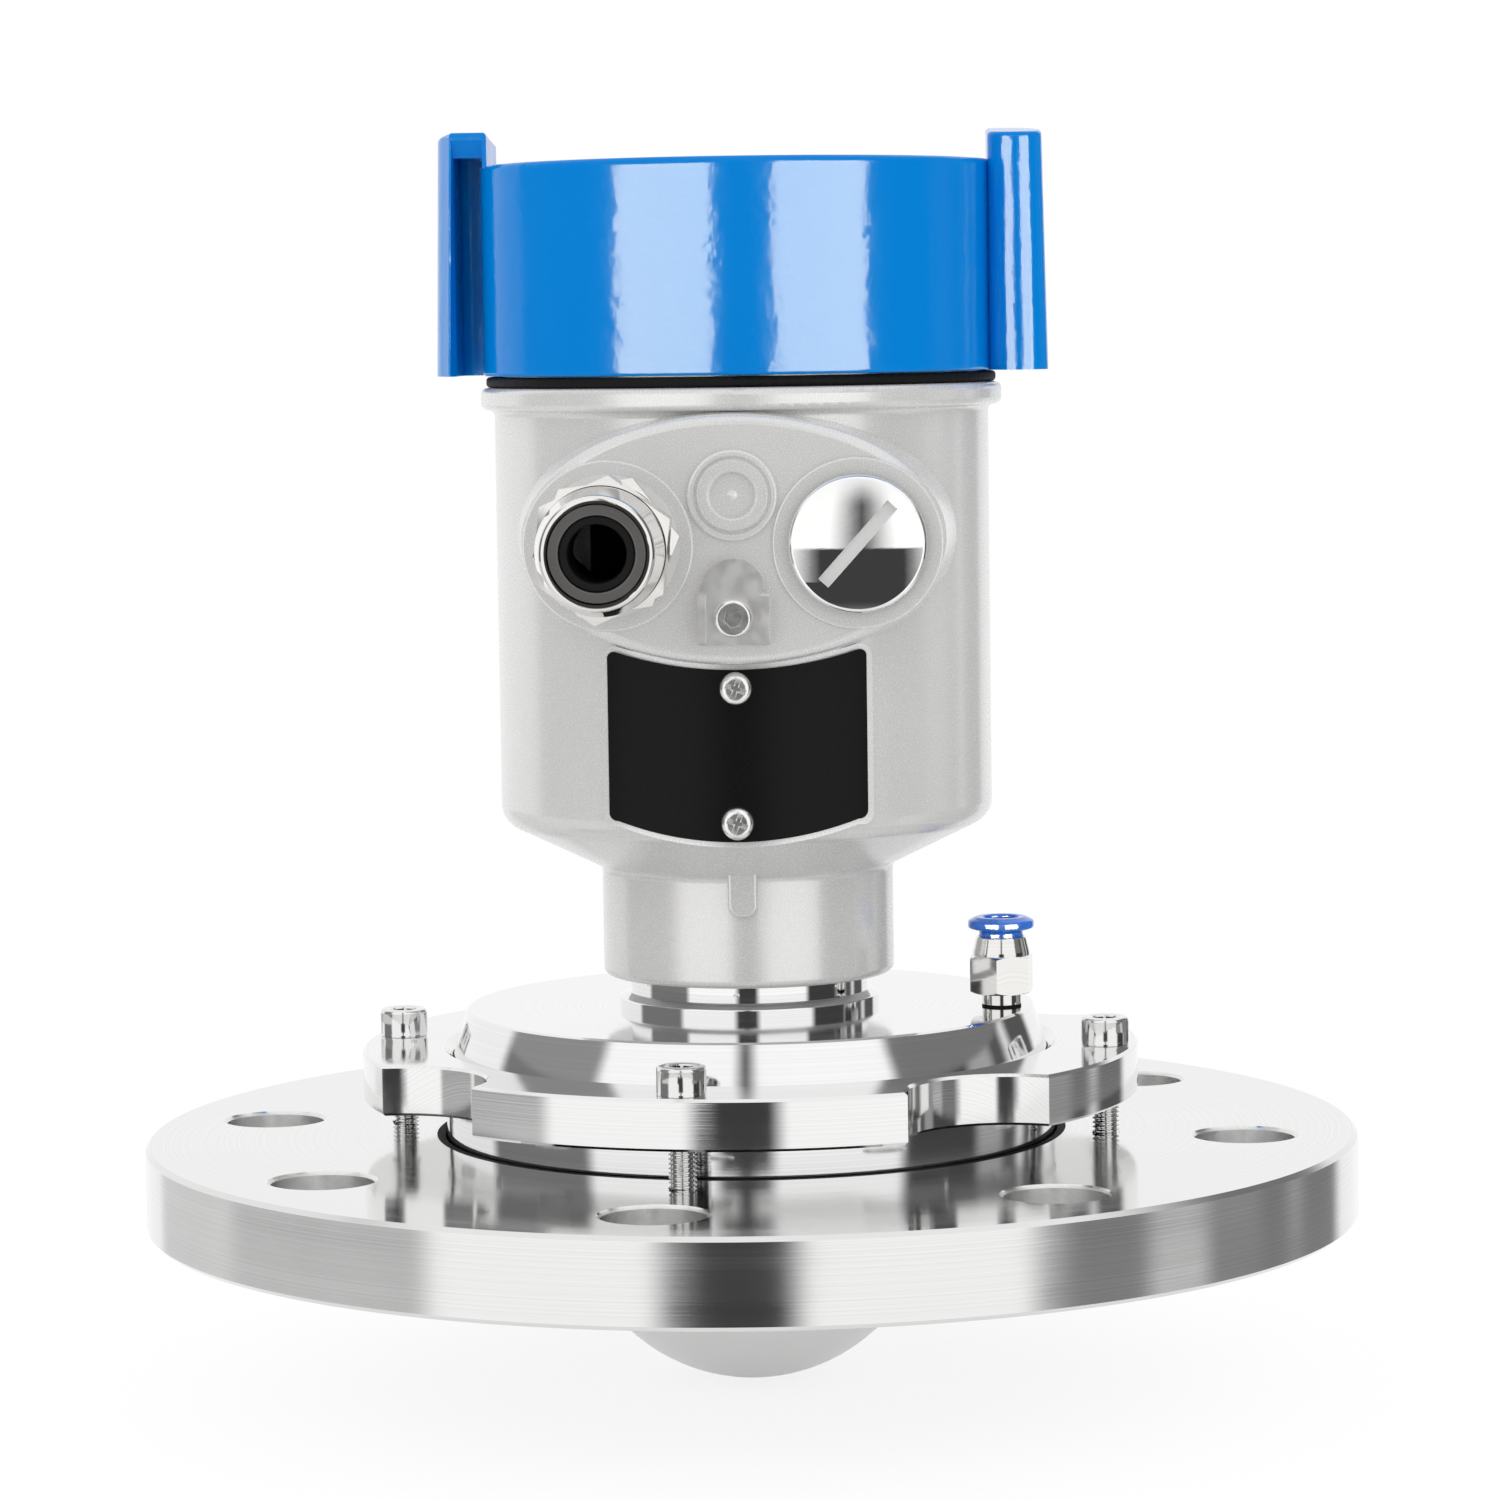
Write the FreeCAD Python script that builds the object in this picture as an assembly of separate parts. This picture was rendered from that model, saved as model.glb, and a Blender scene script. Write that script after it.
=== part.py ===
import FreeCAD, Part
import math
import os

# Radar level transmitter with a lens antenna, on a flange whose ball joint aims it.
# Units are millimetres. The origin is the centre of the flange's sealing face, +Z points
# up out of the vessel, and the cable entries face -Y.

V = FreeCAD.Vector
Z_AXIS = V(0, 0, 1)
FRONT = V(0, -1, 0)

# How far a cutter runs past the face that it opens
past = 1.0

# Process flange
flange_r = 110.0
flange_plate_t = 15.5
raised_face_r = 79.0
raised_face_h = 2.0
raised_face_chamfer = 0.8
flange_chamfer = 0.8
bolt_circle_inset = 20.0
bolt_hole_r = 9.0
bolt_hole_count = 8
bolt_hole_chamfer = 0.6
pattern_turn_deg = -8.4
bolt_circle_r = flange_r - bolt_circle_inset
flange_top = raised_face_h + flange_plate_t

# Ball joint
ball_r = 55.5
ball_rise = 2.0
ball_centre_z = flange_top + ball_rise
ball_bottom_z = raised_face_h + 1.0
ball_top_chamfer = 0.5
swivel_gap = 0.25
liner_t = 1.2
liner_bottom_z = 0.8
ball_seal_h = 2.0
ball_seal_w = 1.6
ball_seal_round = 0.4
liner_top_gap = 0.4
liner_top_z = flange_top - ball_seal_h - liner_top_gap

# Clamp ring and its screws
ring_gap = 7.1
ring_t = 9.0
lobe_reach = 15.0
ring_notch_r = 17.0
notch_centre_stand = 6.0
ring_edge_chamfer = 0.5
ring_mouth_chamfer = 1.5
ring_count = 4
ring_lobe_r = ball_r + lobe_reach
ring_notch_centre_r = ring_lobe_r + notch_centre_stand
ring_bottom = flange_top + ring_gap
ring_top = ring_bottom + ring_t
screw_inset = 5.5
screw_circle_r = ring_lobe_r - screw_inset
screw_r = 2.45
screw_depth = 10.0
screw_head_r = 4.25
screw_head_h = 5.0
screw_socket_af = 4.0
screw_socket_depth = 2.5
screw_clearance = 0.3
screw_end_chamfer = 0.5
screw_head_round = 0.5
thread_clearance = 0.05

# Ball crown and process neck
crown_h = 6.8
ball_top = ring_top + crown_h
spigot_r = 21.7
spigot_depth = 14.0
collar_disc_r = 23.6
collar_disc_h = 2.8
collar_disc_edge = 1.0
collar_disc_round = 0.4
collar_disc_slope_r = 22.0
collar_h = 5.6
collar_r = 21.5
collar_top = ball_top + collar_h
turn_gap = 0.3
journal_r = 18.0
journal_gap = 0.1
neck_bore_r = 11.0
neck_web_t = 4.0
neck_top_chamfer = 0.8
neck_past_clip = 2.4
fit_gap = 0.05

# Housing casting
housing_bottom = collar_top + turn_gap
neck_r = 26.4
neck_h = 19.8
neck_bottom_round = 1.4
shoulder_h = 8.8
body_r = 44.5
body_h = 74.0
body_wall = 5.0
shoulder_round = 4.5
rim_stand = 2.4
rim_h = 4.0
rim_round = 1.2
cap_thread_inset = 1.7
cap_thread_h = 13.8
counterbore_r = 22.5
floor_t = 4.1
floor_round = 3.0
circlip_seat_drop = 5.0
rim_r = body_r + rim_stand
cap_thread_r = body_r - cap_thread_inset
neck_top = housing_bottom + neck_h
body_bottom = neck_top + shoulder_h
rim_bottom = body_bottom + body_h
rim_top = rim_bottom + rim_h
cavity_r = body_r - body_wall
cavity_floor = body_bottom + floor_t
circlip_seat_z = cavity_floor - circlip_seat_drop
thread_neck_top = rim_top + cap_thread_h

# Circlip and neck seal
circlip_t = 1.1
circlip_groove = 1.0
circlip_out_r = 21.2
circlip_gap_w = 7.0
circlip_lug_r = 2.2
circlip_lug_hole_r = 0.9
circlip_lug_gap = 0.2
neck_seal_r = 0.9
neck_seal_rise = 12.0
neck_seal_z = housing_bottom + neck_seal_rise

# Rib on the housing's neck
rib_w = 5.3
rib_stand = 1.6
rib_h = 10.1

# Oval boss pad with the two cable entries
pad_side_inset = 8.1
pad_b = 21.3
pad_draft = 2.0
pad_stand = 5.5
pad_depth = 20.0
pad_round = 1.8
pad_rise = 52.1
pad_a = body_r - pad_side_inset
pad_face_y = -(body_r + pad_stand)
pad_root_y = pad_face_y + pad_depth
pad_z = body_bottom + pad_rise
entry_drop = 0.8
entry_edge = 0.3
entry_ring_r = 14.7
entry_x = pad_a - entry_ring_r - entry_edge
entry_z = pad_z - entry_drop
entry_ring_h = 0.8
entry_ring_round = 0.35
entry_thread_r = 10.0
entry_face_y = pad_face_y - entry_ring_h

# Blanked boss above the ground terminal
blank_rise = 7.6
blank_z = pad_z + blank_rise
blank_r = 7.8
blank_h = 0.8
blank_ring_r = 6.4
blank_groove_r = 6.8
blank_recess_r = 4.1
blank_recess_depth = 0.9
blank_dimple_r = 1.1

# Nameplate
plate_half_w = 22.5
plate_t = 0.7
plate_stand = 0.8
plate_border = 1.0
plate_corner_r = 1.6
plate_top_drop = 19.3
plate_top_sag = 3.3
plate_low_rise = 3.7
plate_low_sag = 4.0
plate_backing = 7.0
plate_top_edge = pad_z - plate_top_drop
plate_low_edge = body_bottom + plate_low_rise
plate_screw_r = 2.9
plate_screw_h = 1.7
plate_screw_shank_r = 1.4
plate_hole_r = 1.6
plate_screw_shank = 5.0
plate_recess_arm = 1.95
plate_recess_w = 0.5
plate_recess_depth = 1.2
plate_recess_deg = 20.0
plate_screw_top_rise = 26.3
plate_screw_low_rise = 3.0
plate_screw_top_z = body_bottom + plate_screw_top_rise
plate_screw_low_z = body_bottom + plate_screw_low_rise

# Ground terminal on the pad
ground_w = 12.3
ground_low_drop = 18.0
ground_shoulder_drop = 9.0
ground_arch_r = 5.2
ground_arch_drop = 8.4
ground_t = 1.6
ground_lip_t = 1.4
ground_lip_h = 3.6
ground_screw_drop = 13.3
ground_screw_r = 3.2
ground_screw_h = 2.6
ground_screw_shank_r = 1.95
ground_screw_shank = 7.0
ground_low_z = pad_z - ground_low_drop
ground_shoulder_z = pad_z - ground_shoulder_drop
ground_arch_z = pad_z - ground_arch_drop
ground_screw_z = pad_z - ground_screw_drop

# Cable gland
washer_t = 1.2
washer_r = 12.2
gland_af = 22.0
gland_body_hex_t = 5.5
gland_thread_len = 11.0
gland_gap = 2.0
gland_nut_hex_t = 9.5
gland_nut_len = 21.0
gland_nut_nose_r = 9.6
gland_mouth_r = 8.4
gland_neck_r = 9.6
gland_neck_len = 13.0
gland_nut_wall_gap = 0.3
gland_bore_r = 8.5
gland_cage_out_r = 8.2
gland_cage_in_r = 6.4
gland_cage_len = 17.0
gland_cage_slots = 8
gland_seal_in_r = 4.9
gland_seal_len = 15.0

# Blind plug
plug_seal_t = 0.8
plug_seal_r = 11.3
plug_head_r = 11.8
plug_head_t = 2.4
plug_head_round = 0.7
plug_thread_r = 9.9
plug_thread_len = 9.0
plug_bore_r = 6.5
plug_bore_depth = 6.0
plug_slot_len = 17.8
plug_slot_w = 2.3
plug_slot_depth = 1.5
plug_slot_deg = 48.0

# Cap with its two lugs, and the cap seal
cap_seal_h = 1.9
cap_seal_inset = 0.5
cap_gap = 2.1
cap_stand = 1.9
cap_h = 37.4
cap_wall = 3.3
cap_top_t = 4.3
cap_top_round = 1.2
cap_low_round = 0.6
cap_thread_gap = 0.3
cap_r = body_r + cap_stand
cap_seal_out_r = cap_r - cap_seal_inset
cap_bottom = rim_top + cap_gap
cap_top = cap_bottom + cap_h
lug_h = 43.5
lug_top_fall = 1.8
lug_draft = 0.9
lug_top_round = 0.8
lug_sink = 1.8
lug_nose_reach = 8.5
lug_nose_y = -17.0
lug_bulge_reach = 9.0
lug_bulge_y = -1.0
lug_bulge_round = 25.0
lug_open_reach = 5.7
lug_open_y = 8.5
lug_roof = 4.6
pocket_sink = 1.0
pocket_reach = 4.3
pocket_end_y = -9.0
pocket_round = 1.8
mouth_depth = 1.6
mouth_rise = 3.1
mouth_land = 0.35
lug_back_x = cap_r - lug_sink
lug_nose_x = cap_r + lug_nose_reach
lug_bulge_x = cap_r + lug_bulge_reach
lug_open_x = cap_r + lug_open_reach
pocket_in_x = cap_r - pocket_sink
pocket_out_x = cap_r + pocket_reach

# Antenna: horn and lens
horn_r = 29.4
horn_low_z = -4.0
horn_len_in_ball = 21.0
horn_mouth_r = 24.3
horn_mouth_z = 1.2
lens_ball_r = 33.2
lens_drop = 28.3
lens_spigot_r = 26.0
lens_spigot_top = 0.8
lens_seal_r = 0.9
lens_seal_z = -1.4
guide_out_r = 3.0
guide_in_r = 1.3
guide_in_horn = 4.0
guide_end_gap = 0.3
lens_spigot_chamfer = 0.4

# Purge fitting
purge_inset = 9.2
purge_r = ball_r - purge_inset
purge_turn_deg = 81.6
purge_thread_r = 2.45
purge_thread_len = 7.0
purge_neck_r = 3.55
purge_gasket_t = 0.4
purge_neck_h = 2.0
purge_af = 10.5
purge_hex_h = 6.9
purge_dome_h = 3.4
purge_dome_r = 4.5
purge_bore_r = 4.05
purge_tube_r = 3.1
purge_channel_r = 1.5
purge_stop_depth = 10.5
purge_hex_turn_deg = 21.0
purge_dome_side_r = purge_af / 2 - 0.05
purge_dome_round = 1.5
grip_gap = 0.6
seal_gap = 1.6
ring_groove = 0.5
collar_skirt_r = 3.95
collar_skirt_len = 3.2
collar_stand = 1.5
collar_flange_r = 5.95
collar_flange_t = 2.0
grip_ring_t = 0.5
tube_seal_r = 0.47
seal_play = 0.01
grip_play = 0.02
grip_teeth = 8
collar_travel = 1.4

# Electronics inside the housing
cup_side_gap = 6.5
cup_r = cavity_r - cup_side_gap
cup_wall = 2.0
cup_floor_z = cavity_floor
cup_floor_t = 2.5
cup_h = 54.0
board_side_gap = 1.5
board_r = cup_r - cup_wall - board_side_gap
board_t = 1.6
main_board_rise = 18.0
power_board_rise = 36.0
pillar_r = 2.5
pillar_inset = 5.0
pillar_circle_r = board_r - pillar_inset
pillar_count = 3
module_size = 30.0
module_h = 12.0
terminal_plate_lip = 1.0
terminal_plate_r = cup_r + terminal_plate_lip
terminal_plate_t = 3.0
terminal_block_l = 34.0
terminal_block_w = 14.0
terminal_block_h = 10.0
terminal_pitch = 7.8
terminal_count = 4
terminal_screw_r = 2.2
cup_post_inset = 5.0
cup_screw_circle_r = cup_r - cup_post_inset
cup_screw_r = 2.75
cup_screw_h = 2.0
cup_screw_count = 2
cup_post_r = 3.4
cup_floor_hole_r = 6.0
cup_top = cup_floor_z + cup_h
terminal_plate_top = cup_top + terminal_plate_t


def at_angle(radius, degrees, z=0.0):
    """A point at a radius, turned from the front (-Y) towards +X."""
    a = math.radians(degrees)
    return V(radius * math.sin(a), -radius * math.cos(a), z)


def arc_in_corner(before, corner, after, radius):
    """The end points and the middle of an arc that rounds one corner."""
    a = (before - corner).normalize()
    b = (after - corner).normalize()
    half = a.getAngle(b) / 2.0
    reach = radius / math.tan(half)
    start = corner + a * reach
    end = corner + b * reach
    centre = corner + (a + b).normalize() * (radius / math.sin(half))
    middle = centre + (corner - centre).normalize() * radius
    return start, middle, end


def wire_of(corners):
    """A closed wire through corners given as (point, rounding radius)."""
    count = len(corners)
    edges = []
    first = None
    last = None
    for i in range(count):
        point, radius = corners[i]
        if radius > 0:
            before = corners[i - 1][0]
            after = corners[(i + 1) % count][0]
            start, middle, end = arc_in_corner(before, point, after, radius)
        else:
            start = point
            end = point
        if last is not None and last.distanceToPoint(start) > 1e-7:
            edges.append(Part.LineSegment(last, start).toShape())
        if radius > 0:
            edges.append(Part.Arc(start, middle, end).toShape())
        if first is None:
            first = start
        last = end
    if last.distanceToPoint(first) > 1e-7:
        edges.append(Part.LineSegment(last, first).toShape())
    return Part.Wire(edges)


def turned(profile, centre=V(0, 0, 0)):
    """A solid turned about a vertical axis from (radius, height[, rounding]) corners."""
    corners = []
    for row in profile:
        rounding = row[2] if len(row) > 2 else 0.0
        corners.append((V(row[0], 0, row[1]), rounding))
    face = Part.Face(wire_of(corners))
    solid = face.revolve(V(0, 0, 0), Z_AXIS, 360)
    solid.translate(centre)
    return solid


def turned_front(profile, x, z):
    """A solid turned about an axis along Y, from (radius, y[, rounding]) corners."""
    solid = turned([(row[0], -row[1]) + tuple(row[2:]) for row in profile])
    solid.rotate(V(0, 0, 0), V(1, 0, 0), 90)
    solid.translate(V(x, 0, z))
    return solid


def disc(radius, low, high, centre=V(0, 0, 0)):
    """An upright cylinder between two heights."""
    return Part.makeCylinder(radius, high - low, V(centre.x, centre.y, low), Z_AXIS)


def drill_front(radius, y_out, y_in, x, z):
    """A cylinder along Y between an outer and an inner y."""
    return Part.makeCylinder(radius, y_in - y_out, V(x, y_out, z), V(0, 1, 0))


def hexagon(across_flats, low, high, centre, turn_deg=0.0):
    """An upright hexagonal prism."""
    corner_r = across_flats / math.sqrt(3.0)
    points = []
    for i in range(7):
        a = math.radians(60.0 * i + turn_deg)
        points.append(V(corner_r * math.cos(a), corner_r * math.sin(a), low))
    prism = Part.Face(Part.makePolygon(points)).extrude(V(0, 0, high - low))
    prism.translate(V(centre.x, centre.y, 0))
    return prism


def hex_bar(across_flats, low, high, centre, chamfer_low, chamfer_high, turn_deg=0.0):
    """A hexagonal prism whose corners are turned off at 30 degrees."""
    corner_r = across_flats / math.sqrt(3.0)
    flat_r = across_flats / 2.0
    drop = (corner_r - flat_r) * math.tan(math.radians(30.0))
    profile = [(0, low)]
    if chamfer_low:
        profile += [(flat_r, low), (corner_r, low + drop)]
    else:
        profile += [(corner_r, low)]
    if chamfer_high:
        profile += [(corner_r, high - drop), (flat_r, high)]
    else:
        profile += [(corner_r, high)]
    profile += [(0, high)]
    return hexagon(across_flats, low, high, centre, turn_deg).common(turned(profile, centre))


def lay_front(solid, x, z):
    """Lay an upright solid over so that its height runs out along -Y."""
    solid.rotate(V(0, 0, 0), V(1, 0, 0), 90)
    solid.translate(V(x, 0, z))
    return solid


def o_ring(ring_radius, cord_radius, z, centre=V(0, 0, 0)):
    """A round seal ring lying flat."""
    return Part.makeTorus(ring_radius, cord_radius, V(centre.x, centre.y, z), Z_AXIS)


def ball(radius):
    """A full ball about the centre of the swivel."""
    return Part.makeSphere(radius, V(0, 0, ball_centre_z))


def pattern(count, radius, z=0.0, offset_deg=0.0):
    """Points evenly spaced on a circle, starting at the pattern's front angle."""
    step = 360.0 / count
    return [at_angle(radius, pattern_turn_deg + offset_deg + step * i, z) for i in range(count)]


def process_flange():
    body = turned([
        (0, 0),
        (raised_face_r, 0),
        (raised_face_r, raised_face_h, raised_face_chamfer),
        (flange_r - flange_chamfer, raised_face_h),
        (flange_r, raised_face_h + flange_chamfer),
        (flange_r, flange_top - flange_chamfer),
        (flange_r - flange_chamfer, flange_top),
        (0, flange_top),
    ])
    cuts = [ball(ball_r + 2 * swivel_gap + liner_t)]
    groove_z = flange_top - ball_seal_h
    cuts.append(disc(ball_r + swivel_gap + ball_seal_w, groove_z, flange_top + past))
    bolt_tool = turned([
        (0, raised_face_h - past),
        (bolt_hole_r + bolt_hole_chamfer + past, raised_face_h - past),
        (bolt_hole_r, raised_face_h + bolt_hole_chamfer),
        (bolt_hole_r, flange_top - bolt_hole_chamfer),
        (bolt_hole_r + bolt_hole_chamfer + past, flange_top + past),
        (0, flange_top + past),
    ])
    for place in pattern(bolt_hole_count, bolt_circle_r):
        tool = bolt_tool.copy()
        tool.translate(place)
        cuts.append(tool)
    for place in pattern(ring_count, screw_circle_r):
        hole_low = flange_top - screw_depth - 1
        cuts.append(disc(screw_r + thread_clearance, hole_low, flange_top + past, place))
    return body.cut(cuts)


def seat_liner():
    shell = ball(ball_r + swivel_gap + liner_t).cut(ball(ball_r + swivel_gap))
    return shell.common(disc(flange_r, liner_bottom_z, liner_top_z))


def ball_seal():
    inner = ball_r + swivel_gap
    outer = inner + ball_seal_w - fit_gap
    return turned([
        (inner, flange_top - ball_seal_h),
        (outer, flange_top - ball_seal_h),
        (outer, flange_top),
        (inner, flange_top, ball_seal_round),
    ])


def clamp_ring():
    chamfer = ring_edge_chamfer
    body = turned([
        (0, ring_bottom),
        (ring_lobe_r - chamfer, ring_bottom),
        (ring_lobe_r, ring_bottom + chamfer),
        (ring_lobe_r, ring_top - chamfer),
        (ring_lobe_r - chamfer, ring_top),
        (0, ring_top),
    ])
    mouth_low = ring_top - ring_mouth_chamfer
    mouth_low_r = math.sqrt((ball_r + swivel_gap) ** 2 - (mouth_low - ball_centre_z) ** 2)
    mouth = turned([
        (0, mouth_low),
        (mouth_low_r, mouth_low),
        (mouth_low_r + ring_mouth_chamfer + past, ring_top + past),
        (0, ring_top + past),
    ])
    cuts = [ball(ball_r + swivel_gap), mouth]
    notch = turned([
        (0, ring_bottom - past),
        (ring_notch_r + chamfer + past, ring_bottom - past),
        (ring_notch_r, ring_bottom + chamfer),
        (ring_notch_r, ring_top - chamfer),
        (ring_notch_r + chamfer + past, ring_top + past),
        (0, ring_top + past),
    ])
    half_step = 180.0 / ring_count
    for place in pattern(ring_count, ring_notch_centre_r, offset_deg=half_step):
        tool = notch.copy()
        tool.translate(place)
        cuts.append(tool)
    for place in pattern(ring_count, screw_circle_r):
        cuts.append(disc(screw_r + screw_clearance, ring_bottom - past, ring_top + past, place))
    return body.cut(cuts)


def socket_screw(place):
    head_top = ring_top + screw_head_h
    body = turned([
        (0, flange_top - screw_depth),
        (screw_r - screw_end_chamfer, flange_top - screw_depth),
        (screw_r, flange_top - screw_depth + screw_end_chamfer),
        (screw_r, ring_top),
        (screw_head_r, ring_top),
        (screw_head_r, head_top, screw_head_round),
        (0, head_top),
    ], place)
    socket = hexagon(screw_socket_af, head_top - screw_socket_depth, head_top + past, place)
    return body.cut(socket)


def clamp_screws():
    return Part.makeCompound([socket_screw(p) for p in pattern(ring_count, screw_circle_r)])


def purge_place(z=0.0):
    return at_angle(purge_r, purge_turn_deg, z)


def swivel_ball():
    crown_r = math.sqrt(ball_r ** 2 - (ball_top - ball_centre_z) ** 2)
    chamfer = ball_top_chamfer
    zone = turned([
        (0, ball_bottom_z),
        (ball_r + past, ball_bottom_z),
        (ball_r + past, ball_top - 2 * chamfer),
        (crown_r + chamfer, ball_top - chamfer),
        (crown_r - chamfer, ball_top),
        (0, ball_top),
    ])
    body = ball(ball_r).common(zone)
    horn_top = ball_bottom_z + horn_len_in_ball
    place = purge_place()
    cuts = [
        disc(spigot_r + fit_gap, ball_top - spigot_depth, ball_top + past),
        disc(horn_r + fit_gap, ball_bottom_z - past, horn_top),
        disc(spigot_r / 2, horn_top - past, ball_top),
        disc(purge_thread_r + fit_gap, ball_top - purge_thread_len - past, ball_top + past, place),
        disc(purge_channel_r, ball_bottom_z - past, ball_top, place),
    ]
    return body.cut(cuts)


def process_neck():
    top = circlip_seat_z + circlip_t + neck_past_clip
    low = ball_top - spigot_depth
    body = turned([
        (guide_out_r + fit_gap, low),
        (spigot_r, low),
        (spigot_r, ball_top),
        (collar_disc_r, ball_top),
        (collar_disc_r, ball_top + collar_disc_h - collar_disc_edge, collar_disc_round),
        (collar_disc_slope_r, ball_top + collar_disc_h),
        (collar_r, ball_top + collar_disc_h),
        (collar_r, collar_top),
        (journal_r, collar_top),
        (journal_r, top - neck_top_chamfer),
        (journal_r - neck_top_chamfer, top),
        (neck_bore_r, top),
        (neck_bore_r, low + neck_web_t),
        (guide_out_r + fit_gap, low + neck_web_t),
    ])
    seal_groove = disc(journal_r + past, neck_seal_z - neck_seal_r, neck_seal_z + neck_seal_r)
    seal_groove = seal_groove.cut(disc(journal_r - 2 * neck_seal_r, low, top))
    clip_low = circlip_seat_z + turn_gap
    clip_groove = disc(journal_r + past, clip_low, clip_low + circlip_t + fit_gap)
    clip_groove = clip_groove.cut(disc(journal_r - circlip_groove, low, top))
    return body.cut([seal_groove, clip_groove])


def neck_seal():
    return o_ring(journal_r + journal_gap - fit_gap - neck_seal_r, neck_seal_r, neck_seal_z)


def retaining_ring():
    low = circlip_seat_z + turn_gap
    high = low + circlip_t
    ring_in_r = journal_r - circlip_groove
    gap_corner = V(-circlip_gap_w / 2, 0, low)
    gap = Part.makeBox(circlip_gap_w, circlip_out_r + past, circlip_t, gap_corner)
    ring = disc(circlip_out_r, low, high).cut(gap)
    lug_x = circlip_gap_w / 2 + circlip_lug_r * 0.4
    lug_y = ring_in_r + circlip_lug_r + circlip_lug_gap
    cuts = [disc(ring_in_r, low - past, high + past)]
    for side in (-1, 1):
        place = V(side * lug_x, lug_y, 0)
        ring = ring.fuse(disc(circlip_lug_r, low, high, place))
        cuts.append(disc(circlip_lug_hole_r, low - past, high + past, place))
    return ring.cut(cuts).removeSplitter()


def waveguide():
    low = ball_bottom_z + horn_len_in_ball - guide_in_horn
    high = cup_floor_z + cup_floor_t - guide_end_gap
    return disc(guide_out_r, low, high).cut(disc(guide_in_r, low - past, high + past))


def antenna_horn():
    high = ball_bottom_z + horn_len_in_ball
    throat_z = high - guide_in_horn
    return turned([
        (lens_spigot_r + fit_gap, horn_low_z),
        (horn_r, horn_low_z),
        (horn_r, high),
        (guide_out_r + fit_gap, high),
        (guide_out_r + fit_gap, throat_z),
        (guide_in_r, throat_z),
        (horn_mouth_r, horn_mouth_z),
        (lens_spigot_r + fit_gap, horn_mouth_z),
    ])


def antenna_lens():
    dome_centre = lens_ball_r - lens_drop
    rim_z = dome_centre - math.sqrt(lens_ball_r ** 2 - horn_r ** 2)
    dome = Part.makeSphere(lens_ball_r, V(0, 0, dome_centre))
    dome = dome.common(disc(horn_r, -lens_drop - past, rim_z))
    skirt = disc(horn_r, rim_z, horn_low_z)
    spigot = turned([
        (0, horn_low_z),
        (lens_spigot_r, horn_low_z),
        (lens_spigot_r, lens_spigot_top - lens_spigot_chamfer),
        (lens_spigot_r - lens_spigot_chamfer, lens_spigot_top),
        (0, lens_spigot_top),
    ])
    groove = disc(lens_spigot_r + past, lens_seal_z - lens_seal_r, lens_seal_z + lens_seal_r)
    groove = groove.cut(disc(lens_spigot_r - 2 * lens_seal_r, horn_low_z, lens_spigot_top))
    return dome.fuse([skirt, spigot]).cut(groove).removeSplitter()


def lens_seal():
    return o_ring(lens_spigot_r + fit_gap / 2 - lens_seal_r, lens_seal_r, lens_seal_z)


def purge_levels():
    base = ball_top + purge_gasket_t
    hex_low = base + purge_neck_h
    hex_high = hex_low + purge_hex_h
    return base, hex_low, hex_high, hex_high + purge_dome_h


def purge_fitting():
    base, hex_low, hex_high, top = purge_levels()
    place = purge_place()
    stop_z = top - purge_stop_depth
    stem = turned([
        (0, ball_top - purge_thread_len),
        (purge_thread_r, ball_top - purge_thread_len),
        (purge_thread_r, base),
        (purge_neck_r, base),
        (purge_neck_r, hex_low + past),
        (0, hex_low + past),
    ], place)
    bar = hex_bar(purge_af, hex_low, hex_high, place, True, True, purge_hex_turn_deg)
    dome = turned([
        (0, hex_high - past),
        (purge_dome_side_r, hex_high - past),
        (purge_dome_side_r, hex_high + 0.5, purge_dome_round),
        (purge_dome_r, top, 0.4),
        (0, top),
    ], place)
    body = stem.fuse([bar, dome])
    grip_z = top - collar_skirt_len - grip_gap
    groove_low = grip_z - grip_ring_t - 0.2
    cuts = [
        disc(purge_bore_r, grip_z - seal_gap, top + past, place),
        disc(purge_bore_r + ring_groove, groove_low, grip_z + 0.3, place),
        disc(purge_tube_r, stop_z, top, place),
        disc(purge_channel_r, ball_top - purge_thread_len - past, top, place),
    ]
    return body.cut(cuts).removeSplitter()


def purge_gasket():
    place = purge_place()
    ring = disc(purge_neck_r, ball_top, ball_top + purge_gasket_t, place)
    return ring.cut(disc(purge_thread_r + fit_gap, ball_top - past, ball_top + 2, place))


def purge_tube_seal():
    top = purge_levels()[3]
    z = top - collar_skirt_len - grip_gap - seal_gap + tube_seal_r
    return o_ring(purge_bore_r - tube_seal_r, tube_seal_r - seal_play, z, purge_place())


def purge_grip_ring():
    top = purge_levels()[3]
    z = top - collar_skirt_len - grip_gap
    place = purge_place()
    ring = disc(purge_bore_r + ring_groove - fit_gap, z - grip_ring_t, z, place)
    ring = ring.cut(disc(purge_tube_r + grip_play, z - past, z + past, place))
    gaps = []
    for i in range(grip_teeth):
        gap = Part.makeBox(past, 0.5, 2 * past, V(purge_tube_r - 0.4, -0.25, z - past))
        gap.rotate(V(0, 0, 0), Z_AXIS, 360.0 * i / grip_teeth)
        gap.translate(place)
        gaps.append(gap)
    return ring.cut(gaps)


def purge_collar():
    top = purge_levels()[3]
    flange_low = top + collar_stand
    flange_high = flange_low + collar_flange_t
    low = top - collar_skirt_len + collar_travel
    return turned([
        (purge_tube_r, low),
        (collar_skirt_r - 0.4, low),
        (collar_skirt_r, low + 0.6),
        (collar_skirt_r, flange_low - 0.6, 0.5),
        (collar_flange_r, flange_low, 0.5),
        (collar_flange_r, flange_low + 1.3, 0.6),
        (purge_tube_r + 1.4, flange_high, 0.5),
        (purge_tube_r, flange_high, 0.5),
    ], purge_place())


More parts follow.
